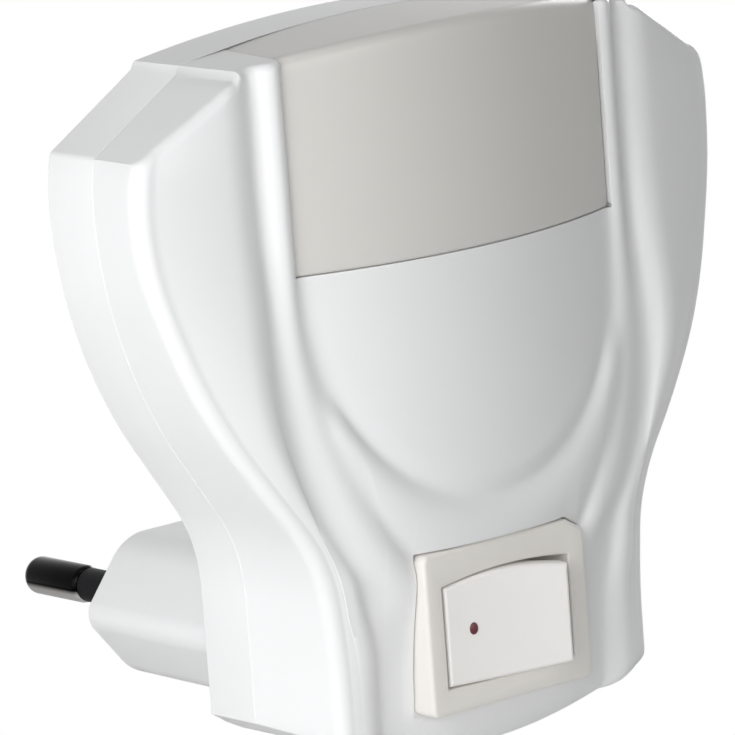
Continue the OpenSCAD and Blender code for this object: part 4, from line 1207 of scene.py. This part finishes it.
bm = bmesh.new()
bmesh.ops.create_uvsphere(bm, u_segments=24, v_segments=12, radius=mark_r)
bmesh.ops.scale(bm, vec=mark_stretch, verts=bm.verts)
bmesh.ops.translate(bm, vec=(mark_at[0], rocker_face_y + rocker_hollow * 0.65, mark_at[1]), verts=bm.verts)
tip(bm)
piece(bm, "rocker_mark", red_paint, "rocker_body")

# ---- Spring parts and contacts inside the switch ----
# A nylon plunger under a small wire spring pushes the contact arm from side to side. The arm and the
# two blades are stamped from brass strip, and push-on receptacles grip the blades.
nylon = plastic("natural_nylon", (0.7, 0.69, 0.63), 0.4, grain=0.006, cloud=0.03)
spring_steel = metal("spring_steel", (0.5, 0.5, 0.51), 0.24, marks=0.04, stretch=(1, 1, 0.2))
brass_strip = metal("brass_strip", (0.74, 0.56, 0.26), 0.28, marks=0.06, stretch=(0.1, 1, 1))
tinned_brass = metal("tinned_brass", (0.66, 0.65, 0.62), 0.34, marks=0.06, stretch=(1, 0.1, 1))

dress(nylon, "plunger")
dress(spring_steel, "plunger_spring")
dress(brass_strip, "contact_arm", "common_terminal", "load_terminal")
dress(tinned_brass, "receptacles")

# ---- Circuit board and its screws ----
# A board of pale green glass-fibre laminate, held on two posts of the rear half by zinc-plated
# screws. Everything that feeds the lamp's LEDs stands on it.
laminate = plastic("green_laminate", (0.16, 0.3, 0.13), 0.38, grain=0.03, cloud=0.12)

dress(laminate, "circuit_board")
dress(screw_zinc, "board_screws")

# ---- LEDs ----
# Four white LEDs stand on the circuit board behind the lens. Each has a domed body of clear epoxy
# with a pale yellow phosphor below it.
led_epoxy = milky("led_epoxy", (0.86, 0.8, 0.52))

dress(led_epoxy, "leds")

# ---- Parts of the power supply ----
# A black moulded bridge rectifier, a black-sleeved electrolytic capacitor, a yellow film capacitor in
# a cast box, and three beige lacquered resistors. All are soldered to the board.
black_epoxy = plastic("black_epoxy", (0.02, 0.02, 0.022), 0.5, grain=0.05, cloud=0.25)
film_box = plastic("yellow_film_box", (0.72, 0.5, 0.1), 0.36, grain=0.01, cloud=0.05)
lacquer = plastic("beige_lacquer", (0.62, 0.47, 0.29), 0.3, grain=0.02, cloud=0.1, coat=0.3)

dress(black_epoxy, "rectifier", "smoothing_capacitor")
dress(film_box, "dropper_capacitor")
dress(lacquer, "resistors")

# ---- Inner leads ----
# Stranded copper leads in soft PVC run between the pins, the switch and the board. Brown ones carry
# the live side, and a blue one the neutral.
brown_pvc = plastic("brown_pvc", (0.12, 0.05, 0.025), 0.42, grain=0.02, cloud=0.1)
blue_pvc = plastic("blue_pvc", (0.03, 0.1, 0.4), 0.42, grain=0.02, cloud=0.1)

dress(brown_pvc, "live_lead", "switched_lead")
dress(blue_pvc, "neutral_lead")

size = {"cad": [list(c) for c in cad_box], "visual": [list(c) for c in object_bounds()]}
